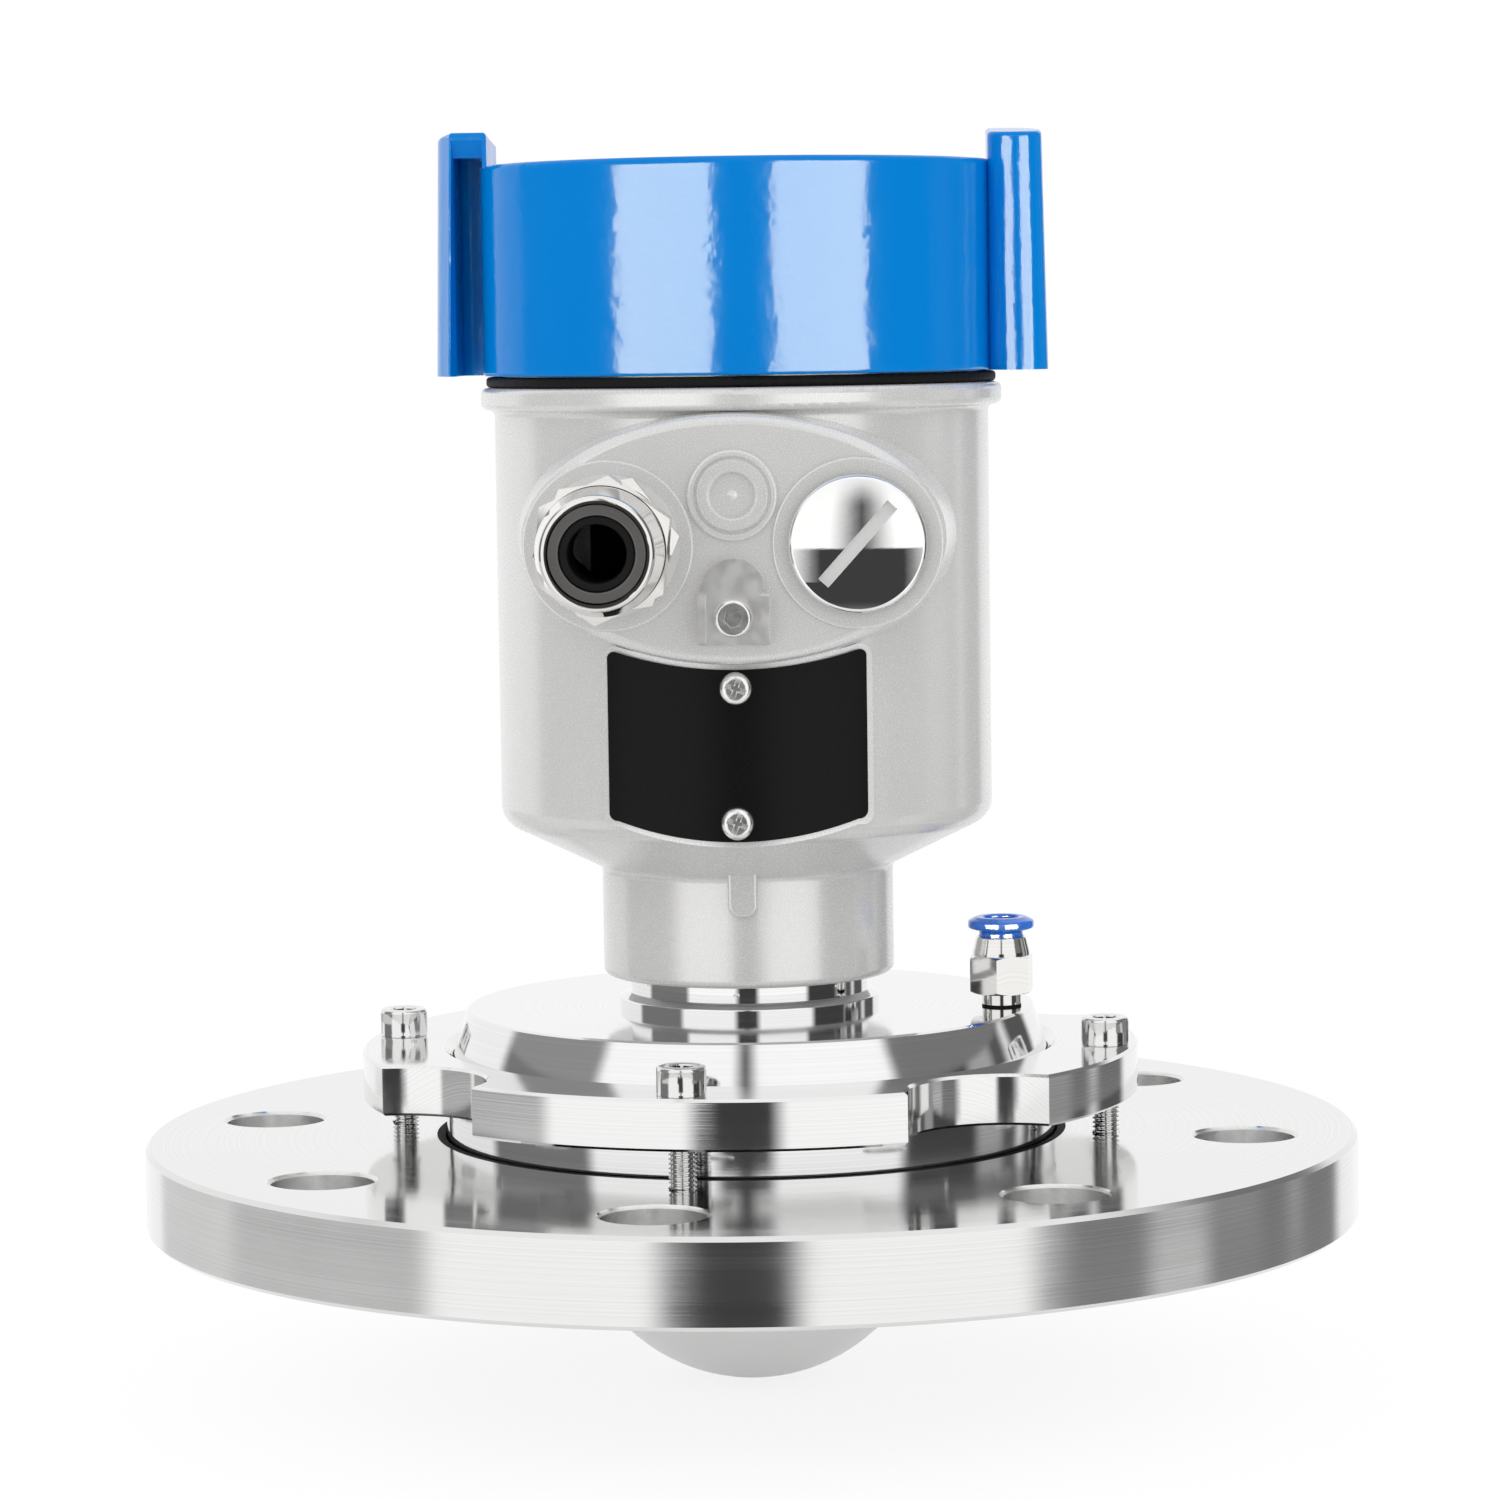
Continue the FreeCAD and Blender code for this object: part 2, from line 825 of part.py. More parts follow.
def plate_outline(border, y):
    """The nameplate's outline in a plane facing the front, grown by a border."""
    half = plate_half_w + border
    top = plate_top_edge + border
    low = plate_low_edge - border
    top_mid = V(0, y, top - plate_top_sag)
    low_mid = V(0, y, low - plate_low_sag)
    r = plate_corner_r + border
    top_end_z = top - 0.35
    top_bend_z = top - 0.35 * r
    side_top_z = top - r
    low_end_z = low - 0.6
    low_bend_z = low - 0.15 * r
    side_low_z = low + 0.6 * r
    right = [
        V(half - r, y, top_end_z),
        V(half - 0.25 * r, y, top_bend_z),
        V(half, y, side_top_z),
        V(half, y, side_low_z),
        V(half - 0.3 * r, y, low_bend_z),
        V(half - r, y, low_end_z),
    ]
    left = [V(-p.x, p.y, p.z) for p in right]
    edges = [
        Part.Arc(left[0], top_mid, right[0]).toShape(),
        Part.Arc(right[0], right[1], right[2]).toShape(),
        Part.LineSegment(right[2], right[3]).toShape(),
        Part.Arc(right[3], right[4], right[5]).toShape(),
        Part.Arc(right[5], low_mid, left[5]).toShape(),
        Part.Arc(left[5], left[4], left[3]).toShape(),
        Part.LineSegment(left[3], left[2]).toShape(),
        Part.Arc(left[2], left[1], left[0]).toShape(),
    ]
    return Part.Face(Part.Wire(edges))


def plate_shell(border, inner_r, outer_r):
    reach = outer_r - plate_half_w
    block = plate_outline(border, -outer_r - past).extrude(V(0, reach, 0))
    low = plate_low_edge - plate_low_sag - border - past
    high = plate_top_edge + border + past
    return block.common(disc(outer_r, low, high).cut(disc(inner_r, low - past, high + past)))


def nameplate():
    inner_r = body_r + plate_stand
    shell = plate_shell(0.0, inner_r, inner_r + plate_t)
    holes = []
    for z in (plate_screw_low_z, plate_screw_top_z):
        holes.append(drill_front(plate_hole_r, -body_r - plate_backing, -body_r, 0, z))
    return shell.cut(holes)


def front_rectangle(half_l, half_w, y, z):
    """A rectangle about the front axis, in a plane that faces the front."""
    return Part.makePolygon([
        V(-half_l, y, z - half_w),
        V(half_l, y, z - half_w),
        V(half_l, y, z + half_w),
        V(-half_l, y, z + half_w),
        V(-half_l, y, z - half_w),
    ])


def pan_screw(z):
    seat_y = -(body_r + plate_stand + plate_t)
    body = turned_front([
        (0, seat_y + plate_screw_shank),
        (plate_screw_shank_r, seat_y + plate_screw_shank),
        (plate_screw_shank_r, seat_y),
        (plate_screw_r, seat_y),
        (plate_screw_r, seat_y - plate_screw_h, 1.3),
        (0, seat_y - plate_screw_h),
    ], 0, z)
    top_y = seat_y - plate_screw_h
    arms = []
    for turn_deg in (plate_recess_deg, plate_recess_deg + 90):
        arm = Part.makeLoft([
            front_rectangle(plate_recess_arm, plate_recess_w, top_y - 0.05, z),
            front_rectangle(plate_recess_arm * 0.4, plate_recess_w * 0.6, top_y + plate_recess_depth, z),
        ], True, True)
        arm.rotate(V(0, 0, z), V(0, 1, 0), turn_deg)
        arms.append(arm)
    return body.cut(arms)


def nameplate_screws():
    return Part.makeCompound([pan_screw(z) for z in (plate_screw_low_z, plate_screw_top_z)])


def boss_pad():
    front = Part.Ellipse(V(0, 0, 0), pad_a, pad_b).toShape()
    root = Part.Ellipse(V(0, 0, 0), pad_a + pad_draft, pad_b + pad_draft).toShape()
    for edge, y in ((front, pad_face_y), (root, pad_root_y)):
        edge.rotate(V(0, 0, 0), V(1, 0, 0), 90)
        edge.translate(V(0, y, pad_z))
    pad = Part.makeLoft([Part.Wire([root]), Part.Wire([front])], True)
    face_edges = [e for e in pad.Edges if abs(e.BoundBox.YMax - pad_face_y) < 0.01]
    return pad.makeFillet(pad_round, face_edges)


def entry_ring(x):
    return turned_front([
        (0, pad_root_y),
        (entry_ring_r, pad_root_y),
        (entry_ring_r, entry_face_y, entry_ring_round),
        (0, entry_face_y),
    ], x, entry_z)


def blank_boss():
    out_y = pad_face_y - blank_h
    return turned_front([
        (0, pad_face_y + 2),
        (blank_r, pad_face_y + 2),
        (blank_r, out_y, 0.5),
        (blank_groove_r, out_y, 0.1),
        (blank_groove_r - 0.3, out_y + 0.5),
        (blank_ring_r - 0.2, out_y + 0.5),
        (blank_ring_r - 0.4, out_y - 0.3, 0.1),
        (blank_recess_r, out_y - 0.3, 0.3),
        (blank_recess_r - 0.3, out_y + blank_recess_depth),
        (blank_dimple_r, out_y + blank_recess_depth),
        (0, out_y + blank_recess_depth - 0.5),
    ], 0, blank_z)


def neck_rib():
    face_y = -(neck_r + rib_stand)
    low = neck_top + 3.3 - rib_h
    half = rib_w / 2
    corners = [
        (V(-half, face_y, neck_top + 7.0), 0),
        (V(half, face_y, neck_top + 7.0), 0),
        (V(half, face_y, low), 2.2),
        (V(-half, face_y, low), 2.2),
    ]
    rib = Part.Face(wire_of(corners)).extrude(V(0, -face_y - journal_r - 3, 0))
    front_edges = [e for e in rib.Edges if e.BoundBox.YMax < face_y + 0.01]
    return rib.makeFillet(0.6, front_edges)


def housing_outside():
    return turned([
        (0, housing_bottom),
        (neck_r, housing_bottom, neck_bottom_round),
        (neck_r, neck_top, 1.5),
        (body_r, body_bottom, shoulder_round),
        (body_r, rim_bottom, 1.2),
        (rim_r, rim_bottom, rim_round),
        (rim_r, rim_top, rim_round),
        (cap_thread_r, rim_top),
        (cap_thread_r, thread_neck_top - 1.0),
        (cap_thread_r - 1.0, thread_neck_top),
        (0, thread_neck_top),
    ])


def housing_inside():
    return turned([
        (0, housing_bottom - past),
        (journal_r + journal_gap, housing_bottom - past),
        (journal_r + journal_gap, circlip_seat_z),
        (counterbore_r, circlip_seat_z),
        (counterbore_r, cavity_floor),
        (cavity_r, cavity_floor, floor_round),
        (cavity_r, thread_neck_top - 1.0),
        (cavity_r + 1.0, thread_neck_top),
        (cavity_r + 1.0, thread_neck_top + past),
        (0, thread_neck_top + past),
    ])


def housing():
    backing = plate_shell(plate_border, body_r - plate_backing, body_r + plate_stand)
    outside = housing_outside().fuse([
        boss_pad(),
        entry_ring(-entry_x),
        entry_ring(entry_x),
        blank_boss(),
        neck_rib(),
        backing,
    ])
    cuts = [housing_inside()]
    for x in (-entry_x, entry_x):
        cuts.append(drill_front(entry_thread_r, entry_face_y - past, pad_root_y, x, entry_z))
    plate_seat = -(body_r + plate_stand)
    screw_hole_r = plate_screw_shank_r + fit_gap
    screw_end = plate_seat + plate_screw_shank
    for z in (plate_screw_low_z, plate_screw_top_z):
        cuts.append(drill_front(screw_hole_r, plate_seat - past, screw_end, 0, z))
    ground_hole_r = ground_screw_shank_r + fit_gap
    ground_end = pad_face_y + ground_screw_shank + 1
    cuts.append(drill_front(ground_hole_r, pad_face_y - past, ground_end, 0, ground_screw_z))
    return outside.cut(cuts)


def ground_clamp():
    half = ground_w / 2
    y = pad_face_y
    corners = [
        (V(-half, y, ground_low_z), 0.5),
        (V(half, y, ground_low_z), 0.5),
        (V(half, y, ground_shoulder_z), 0.4),
        (V(ground_arch_r, y, ground_arch_z), 0.2),
        (V(ground_arch_r, y, ground_arch_z + ground_arch_r), ground_arch_r * 0.95),
        (V(-ground_arch_r, y, ground_arch_z + ground_arch_r), ground_arch_r * 0.95),
        (V(-ground_arch_r, y, ground_arch_z), 0.2),
        (V(-half, y, ground_shoulder_z), 0.4),
    ]
    plate = Part.Face(wire_of(corners)).extrude(V(0, -ground_t, 0))
    sides = []
    for side in (-1, 1):
        x = half - ground_lip_t if side > 0 else -half
        sides.append(Part.makeBox(ground_lip_t, ground_lip_h - ground_t + 0.1,
                                  ground_shoulder_z - ground_low_z - 1.0,
                                  V(x, y - ground_lip_h, ground_low_z + 0.5)))
    body = plate.fuse(sides).removeSplitter()
    hole = drill_front(ground_screw_shank_r + 0.2, y - 5, y + past, 0, ground_screw_z)
    return body.cut(hole)


def ground_screw():
    seat_y = pad_face_y - ground_t
    body = turned_front([
        (0, pad_face_y + ground_screw_shank),
        (ground_screw_shank_r, pad_face_y + ground_screw_shank),
        (ground_screw_shank_r, seat_y),
        (ground_screw_r, seat_y),
        (ground_screw_r, seat_y - ground_screw_h, 0.6),
        (0, seat_y - ground_screw_h),
    ], 0, ground_screw_z)
    top_y = seat_y - ground_screw_h
    socket = hexagon(3.0, -top_y - 1.4, -top_y + past, V(0, 0, 0), 15.0)
    return body.cut(lay_front(socket, 0, ground_screw_z))


def gland_levels():
    """Distances out along -Y: seat, body hex, nut."""
    seat = -entry_face_y + washer_t
    hex_out = seat + gland_body_hex_t
    nut_in = hex_out + gland_gap
    return seat, hex_out, nut_in, nut_in + gland_nut_len


def gland_washer():
    low = -entry_face_y
    ring = disc(washer_r, low, low + washer_t)
    ring = ring.cut(disc(entry_thread_r + fit_gap, low - past, low + 3))
    return lay_front(ring, -entry_x, entry_z)


def gland_body():
    seat, hex_out, nut_in, nut_out = gland_levels()
    bar = hex_bar(gland_af, seat, hex_out, V(0, 0, 0), False, True, 8.0)
    stem = turned([
        (0, seat - washer_t - gland_thread_len),
        (entry_thread_r - fit_gap - 0.8, seat - washer_t - gland_thread_len),
        (entry_thread_r - fit_gap, seat - washer_t - gland_thread_len + 0.8),
        (entry_thread_r - fit_gap, seat + past),
        (gland_neck_r - 0.6, seat + past),
        (gland_neck_r - 0.6, hex_out + 0.8),
        (gland_neck_r, hex_out + 1.4),
        (gland_neck_r, hex_out + gland_neck_len - 0.8),
        (gland_neck_r - 0.8, hex_out + gland_neck_len),
        (0, hex_out + gland_neck_len),
    ])
    stop = nut_out - gland_cage_len
    bore = disc(gland_bore_r, stop - 0.5, nut_out + past)
    through = disc(gland_seal_in_r + 1.2, seat - gland_thread_len - 5, nut_out)
    return lay_front(bar.fuse(stem).cut([bore, through]).removeSplitter(), -entry_x, entry_z)


def gland_cage():
    nut_out = gland_levels()[3]
    low = nut_out - gland_cage_len
    cage = turned([
        (gland_cage_in_r, low),
        (gland_cage_out_r, low),
        (gland_cage_out_r, nut_out - 0.4, 0.3),
        (gland_cage_in_r, nut_out - 0.4, 0.3),
    ])
    slots = []
    for i in range(gland_cage_slots):
        slot = Part.makeBox(gland_cage_out_r + past, 0.7, 7.0, V(0, -0.35, nut_out - 12.0))
        slot.rotate(V(0, 0, 0), Z_AXIS, 360.0 * i / gland_cage_slots)
        slots.append(slot)
    return lay_front(cage.cut(slots), -entry_x, entry_z)


def gland_seal():
    nut_out = gland_levels()[3]
    low = nut_out - 0.8 - gland_seal_len
    ring = turned([
        (gland_seal_in_r, low),
        (gland_cage_in_r - fit_gap, low),
        (gland_cage_in_r - fit_gap, nut_out - 0.8, 0.4),
        (gland_seal_in_r, nut_out - 0.8, 0.4),
    ])
    return lay_front(ring, -entry_x, entry_z)


def gland_nut():
    seat, hex_out, nut_in, nut_out = gland_levels()
    bar = hex_bar(gland_af, nut_in, nut_in + gland_nut_hex_t, V(0, 0, 0), True, True, 24.0)
    dome_r = gland_af / 2 - 0.1
    dome = turned([
        (0, nut_in + past),
        (dome_r, nut_in + past),
        (dome_r, nut_in + gland_nut_hex_t + 3.5, 4.0),
        (gland_nut_nose_r, nut_out, 1.0),
        (0, nut_out),
    ])
    bore = turned([
        (0, nut_in - past),
        (gland_neck_r + gland_nut_wall_gap, nut_in - past),
        (gland_neck_r + gland_nut_wall_gap, nut_out - 4.0),
        (gland_mouth_r, nut_out - 2.6),
        (gland_mouth_r, nut_out + past),
        (0, nut_out + past),
    ])
    return lay_front(bar.fuse(dome).cut(bore).removeSplitter(), -entry_x, entry_z)


def plug_seal():
    low = -entry_face_y
    ring = disc(plug_seal_r, low + 0.05, low + plug_seal_t)
    ring = ring.cut(disc(plug_thread_r + fit_gap, low - past, low + 3))
    return lay_front(ring, entry_x, entry_z)


def blind_plug():
    seat = -entry_face_y + plug_seal_t + 0.05
    low = seat - plug_seal_t - plug_thread_len
    high = seat + plug_head_t
    body = turned([
        (plug_bore_r, low),
        (plug_thread_r - 0.7, low),
        (plug_thread_r, low + 0.7),
        (plug_thread_r, seat),
        (plug_head_r, seat),
        (plug_head_r, high, plug_head_round),
        (0, high),
        (0, low + plug_bore_depth),
        (plug_bore_r, low + plug_bore_depth),
    ])
    half_w = plug_slot_w / 2
    half_l = plug_slot_len / 2
    slot_low = high - plug_slot_depth
    slot = Part.makeBox(plug_slot_len, plug_slot_w, plug_slot_depth + past, V(-half_l, -half_w, slot_low))
    slot.rotate(V(0, 0, 0), Z_AXIS, plug_slot_deg)
    return lay_front(body.cut(slot), entry_x, entry_z)


def cap_seal():
    inner = cap_thread_r + cap_thread_gap
    return turned([
        (inner, rim_top + 0.05),
        (cap_seal_out_r, rim_top + 0.05, 0.7),
        (cap_seal_out_r, rim_top + cap_seal_h, 0.7),
        (inner, rim_top + cap_seal_h),
    ])


def lug_section(draft, z):
    """The outline of a lug at one height, leaning in by the draft."""
    nose_x = lug_nose_x - draft
    nose_r = 0.485 * (nose_x - lug_back_x)
    return wire_of([
        (V(lug_back_x, lug_open_y, z), 0),
        (V(lug_back_x, lug_nose_y, z), nose_r),
        (V(nose_x, lug_nose_y, z), nose_r),
        (V(lug_bulge_x - draft, lug_bulge_y, z), lug_bulge_round),
        (V(lug_open_x - draft, lug_open_y, z), 0),
    ])


def pocket_outline(y, widen, rise):
    """The pocket's opening in a plane across the lug, leaning with the draft."""
    roof_z = cap_bottom + lug_h - lug_roof
    low_z = cap_bottom - past
    high_z = roof_z + rise
    wall_lean = lug_draft * widen / (lug_open_x - mouth_land - pocket_out_x)
    low_x = pocket_out_x + widen
    high_x = low_x - wall_lean * (high_z - low_z) / lug_h
    return Part.makePolygon([
        V(pocket_in_x, y, low_z),
        V(low_x, y, low_z),
        V(high_x, y, high_z),
        V(pocket_in_x, y, high_z),
        V(pocket_in_x, y, low_z),
    ])


def lug_pocket():
    """The scoop under a lug's roof, with a mouth that widens in a mitred chamfer."""
    low = cap_bottom - past
    pocket = Part.Face(wire_of([
        (V(pocket_in_x, lug_open_y + past, low), 0),
        (V(pocket_in_x, pocket_end_y, low), pocket_round),
        (V(pocket_out_x, pocket_end_y, low), pocket_round),
        (V(pocket_out_x, lug_open_y + past, low), 0),
    ])).extrude(V(0, 0, cap_bottom + lug_h - lug_roof - low))
    widen = lug_open_x - mouth_land - pocket_out_x
    stretch = 1.25
    outer_y = lug_open_y + mouth_depth * (stretch - 1)
    mouth = Part.makeLoft([
        pocket_outline(lug_open_y - mouth_depth, 0.0, 0.0),
        pocket_outline(outer_y, widen * stretch, mouth_rise * stretch),
    ], True, True)
    return [pocket, mouth]


def lug(turn_deg):
    """One hooked lug: a rounded nose on one side and a pocket on the other, under a roof."""
    top = cap_bottom + lug_h
    body = Part.makeLoft([lug_section(0.0, cap_bottom), lug_section(lug_draft, top)], True)
    above = Part.Face(Part.makePolygon([
        V(0, lug_open_y + past, top),
        V(0, lug_nose_y - past, top - lug_top_fall),
        V(0, lug_nose_y - past, top + past),
        V(0, lug_open_y + past, top + past),
        V(0, lug_open_y + past, top),
    ])).extrude(V(2 * cap_r, 0, 0))
    body = body.cut(above)
    top_face = max(body.Faces, key=lambda f: f.CenterOfMass.z)
    body = body.makeFillet(lug_top_round, top_face.Edges)
    body = body.cut(lug_pocket())
    body.rotate(V(0, 0, 0), Z_AXIS, turn_deg)
    return body


def cap():
    outside = turned([
        (0, cap_bottom),
        (cap_r, cap_bottom, cap_low_round),
        (cap_r, cap_top, cap_top_round),
        (0, cap_top),
    ])
    inner_r = cap_r - cap_wall
    skirt_r = cap_thread_r + cap_thread_gap
    thread_top = cap_bottom + cap_thread_h - 0.5
    inside = turned([
        (0, cap_bottom - past),
        (skirt_r, cap_bottom - past),
        (skirt_r, thread_top),
        (inner_r - 1.5, thread_top + 1.5),
        (inner_r - 1.5, cap_top - cap_top_t, 2.5),
        (0, cap_top - cap_top_t),
    ])
    return outside.fuse([lug(0.0), lug(180.0)]).cut(inside)


def electronics_cup():
    inner = cup_r - cup_wall
    cup = turned([
        (cup_floor_hole_r, cup_floor_z),
        (cup_r, cup_floor_z, 2.0),
        (cup_r, cup_top),
        (inner, cup_top),
        (inner, cup_floor_z + cup_floor_t, 1.0),
        (cup_floor_hole_r, cup_floor_z + cup_floor_t),
    ])
    posts = []
    holes = []
    for i in range(cup_screw_count):
        place = at_angle(cup_screw_circle_r, 360.0 * i / cup_screw_count)
        posts.append(disc(cup_post_r, cup_top - 10, cup_top, place))
        holes.append(disc(1.25, cup_top - 8, cup_top + past, place))
    return cup.fuse(posts).cut(holes).removeSplitter()


def microwave_module():
    low = cup_floor_z + cup_floor_t
    half = module_size / 2
    block = Part.makeBox(module_size, module_size, module_h, V(-half, -half, low))
    edges = [e for e in block.Edges if abs(e.BoundBox.ZLength - module_h) < 0.01]
    return block.makeFillet(3.0, edges).cut(disc(guide_in_r, low - past, low + 5))


def board(rise):
    low = cup_floor_z + cup_floor_t + rise
    plate = disc(board_r, low, low + board_t)
    cuts = []
    for i in range(cup_screw_count):
        place = at_angle(cup_screw_circle_r, 360.0 * i / cup_screw_count)
        cuts.append(disc(cup_post_r + 0.8, low - past, low + 3, place))
    return plate.cut(cuts)


def board_pillars():
    base = cup_floor_z + cup_floor_t
    main_top = base + main_board_rise + board_t
    spans = [
        (base, base + main_board_rise),
        (main_top, base + power_board_rise),
    ]
    pillars = []
    for low, high in spans:
        for i in range(pillar_count):
            place = at_angle(pillar_circle_r, 60.0 + 360.0 * i / pillar_count)
            pillars.append(disc(pillar_r, low, high, place))
    return Part.makeCompound(pillars)


def terminal_plate():
    plate = turned([
        (0, cup_top),
        (terminal_plate_r, cup_top),
        (terminal_plate_r, terminal_plate_top, 0.8),
        (0, terminal_plate_top),
    ])
    holes = []
    for i in range(cup_screw_count):
        holes.append(disc(1.6, cup_top - past, terminal_plate_top + past,
                          at_angle(cup_screw_circle_r, 360.0 * i / cup_screw_count)))
    return plate.cut(holes)


def terminal_places(z):
    first = -terminal_pitch * (terminal_count - 1) / 2
    return [V(first + terminal_pitch * i, 0, z) for i in range(terminal_count)]


def terminal_block():
    low = terminal_plate_top
    half_w = terminal_block_w / 2
    half_l = terminal_block_l / 2
    corner = V(-half_l, -half_w, low)
    block = Part.makeBox(terminal_block_l, terminal_block_w, terminal_block_h, corner)
    step_corner = V(-half_l - past, -half_w, low + terminal_block_h - 4.0)
    step = Part.makeBox(terminal_block_l + 2, 4.0, 4.0, step_corner)
    cuts = [step]
    for place in terminal_places(0):
        cuts.append(disc(terminal_screw_r + 0.3, low + 3.0, low + terminal_block_h + past, place))
        cuts.append(Part.makeBox(4.6, 8.0, 4.0, V(place.x - 2.3, -half_w - past, low + 1.2)))
    return block.cut(cuts)


def terminal_screws():
    low = terminal_plate_top + 3.0
    screws = []
    for place in terminal_places(0):
        body = disc(terminal_screw_r, low, low + 5.0, place)
        slot = Part.makeBox(5.0, 0.7, 1.0, V(place.x - 2.5, -0.35, low + 4.2))
        screws.append(body.cut(slot))
    return Part.makeCompound(screws)


def cup_screws():
    screws = []
    for i in range(cup_screw_count):
        place = at_angle(cup_screw_circle_r, 360.0 * i / cup_screw_count)
        body = turned([
            (0, cup_top - 6),
            (1.2, cup_top - 6),
            (1.2, terminal_plate_top),
            (cup_screw_r, terminal_plate_top),
            (cup_screw_r, terminal_plate_top + cup_screw_h, 0.8),
            (0, terminal_plate_top + cup_screw_h),
        ], place)
        slot = Part.makeBox(6.0, 0.8, 1.0, V(-3.0, -0.4, terminal_plate_top + cup_screw_h - 0.9))
        slot.translate(place)
        screws.append(body.cut(slot))
    return Part.makeCompound(screws)


def main_board():
    return board(main_board_rise)


def power_board():
    return board(power_board_rise)


SUB_PARTS = [
    process_flange, ball_seal, clamp_ring, clamp_screws, seat_liner,
    swivel_ball, antenna_horn, antenna_lens, lens_seal, process_neck, neck_seal, retaining_ring,
    waveguide, purge_fitting, purge_gasket, purge_tube_seal, purge_grip_ring, purge_collar,
    housing, nameplate, nameplate_screws, ground_clamp, ground_screw,
    gland_washer, gland_body, gland_cage, gland_seal, gland_nut, plug_seal, blind_plug,
    electronics_cup, microwave_module, main_board, power_board, board_pillars,
    terminal_plate, terminal_block, terminal_screws, cup_screws, cap_seal, cap,
]

os.makedirs("parts", exist_ok=True)
for sub_part in SUB_PARTS:
    shape = sub_part()
    shape.exportStep("parts/" + sub_part.__name__ + ".step")
    print(sub_part.__name__, len(shape.Solids), round(shape.Volume, 1), shape.isValid())
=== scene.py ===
"""Looks, light and camera for a radar level transmitter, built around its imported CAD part."""

import math

import bmesh
import bpy
from mathutils import Matrix, Vector


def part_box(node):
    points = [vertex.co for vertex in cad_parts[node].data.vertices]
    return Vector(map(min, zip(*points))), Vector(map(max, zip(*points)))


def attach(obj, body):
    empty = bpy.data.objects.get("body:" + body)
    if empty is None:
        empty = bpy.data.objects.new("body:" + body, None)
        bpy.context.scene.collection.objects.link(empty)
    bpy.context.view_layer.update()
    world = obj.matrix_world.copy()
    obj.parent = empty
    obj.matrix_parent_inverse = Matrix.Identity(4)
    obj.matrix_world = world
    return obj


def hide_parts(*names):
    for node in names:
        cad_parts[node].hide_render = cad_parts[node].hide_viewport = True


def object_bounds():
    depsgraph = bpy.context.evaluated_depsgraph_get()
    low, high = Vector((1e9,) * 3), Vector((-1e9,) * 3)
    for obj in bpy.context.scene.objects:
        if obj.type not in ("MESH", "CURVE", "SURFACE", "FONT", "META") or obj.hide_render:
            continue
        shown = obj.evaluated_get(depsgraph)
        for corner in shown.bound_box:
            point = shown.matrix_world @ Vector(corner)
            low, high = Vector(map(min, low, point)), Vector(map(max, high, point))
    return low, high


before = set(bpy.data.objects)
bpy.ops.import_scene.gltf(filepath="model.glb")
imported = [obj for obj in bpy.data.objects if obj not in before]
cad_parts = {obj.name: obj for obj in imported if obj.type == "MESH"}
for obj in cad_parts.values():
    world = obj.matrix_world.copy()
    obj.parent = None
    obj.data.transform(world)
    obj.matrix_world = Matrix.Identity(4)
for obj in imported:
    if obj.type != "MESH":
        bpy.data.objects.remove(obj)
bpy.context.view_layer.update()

# A millimetre and a thousandth of one, in metres
MM = 0.001
UM = 0.000001

# Camera, found by fitting the photograph's circles
IMAGE_WIDTH_PX = 1500
FOCAL_PX = 4946
SENSOR_MM = 36.0
CAMERA_DISTANCE = 0.895
CAMERA_HEIGHT = 0.1638
CAMERA_SIDE_SHIFT = 0.0007
CAMERA_AZIMUTH_DEG = 2.0
CAMERA_PITCH_DEG = 4.93
CAMERA_ROLL_DEG = 0.8
CAMERA_CLIP = (0.05, 50.0)

# Studio, as reflections show it: flat panels round the object, each of one grey level. A panel starts at
# its angle from the front, in degrees, and reaches to the next one.
TABLE_PANELS = [
    (-180, 1.0), (-145, 0.7), (-60, 1.1), (-15, 0.05), (10, 1.1), (55, 0.3), (80, 0.7), (95, 0.25),
    (145, 1.0),
]
WALL_PANELS = [
    (-180, 1.0), (-110, 0.2), (-60, 1.1), (-10, 0.05), (10, 1.1), (60, 0.05), (95, 0.4), (110, 0.1),
    (120, 0.85), (125, 0.1), (145, 1.0),
]
GALLERY_PANELS = [(-180, 1.0), (-110, 0.3), (-60, 1.1), (-3, 0.1), (3, 1.1), (60, 0.2), (145, 1.0)]
PANEL_EDGE_DEG = 5.0
CEILING_PANELS = [(-180, 1.05)]
FLOOR_LEVEL = 0.90
PLAIN_LEVEL = 1.0

# Each band of the studio, from the floor up, with the heights of direction between which it fades in
STUDIO_BANDS = [
    (-0.75, -0.35, TABLE_PANELS),
    (-0.157, -0.143, WALL_PANELS),
    (0.20, 0.23, GALLERY_PANELS),
    (0.60, 0.85, CEILING_PANELS),
]

# Softboxes, which only make the highlights on paint and plastic
SOFTBOX_AZIMUTHS_DEG = (-31.5, 38.0)
SOFTBOX_WIDTH_DEG = 43.0
SOFTBOX_DISTANCE = 1.6
SOFTBOX_HEIGHT = 1.3
SOFTBOX_Z = 0.05
SOFTBOX_AIM = Vector((0, 0, 0.12))
CAP_SOFTBOX_TINT = (1.0, 0.94, 0.62)
BODY_SOFTBOX_TINT = (1.0, 1.0, 1.0)
CAP_SOFTBOX_RADIANCE = 46.0
BODY_SOFTBOX_RADIANCE = 0.9

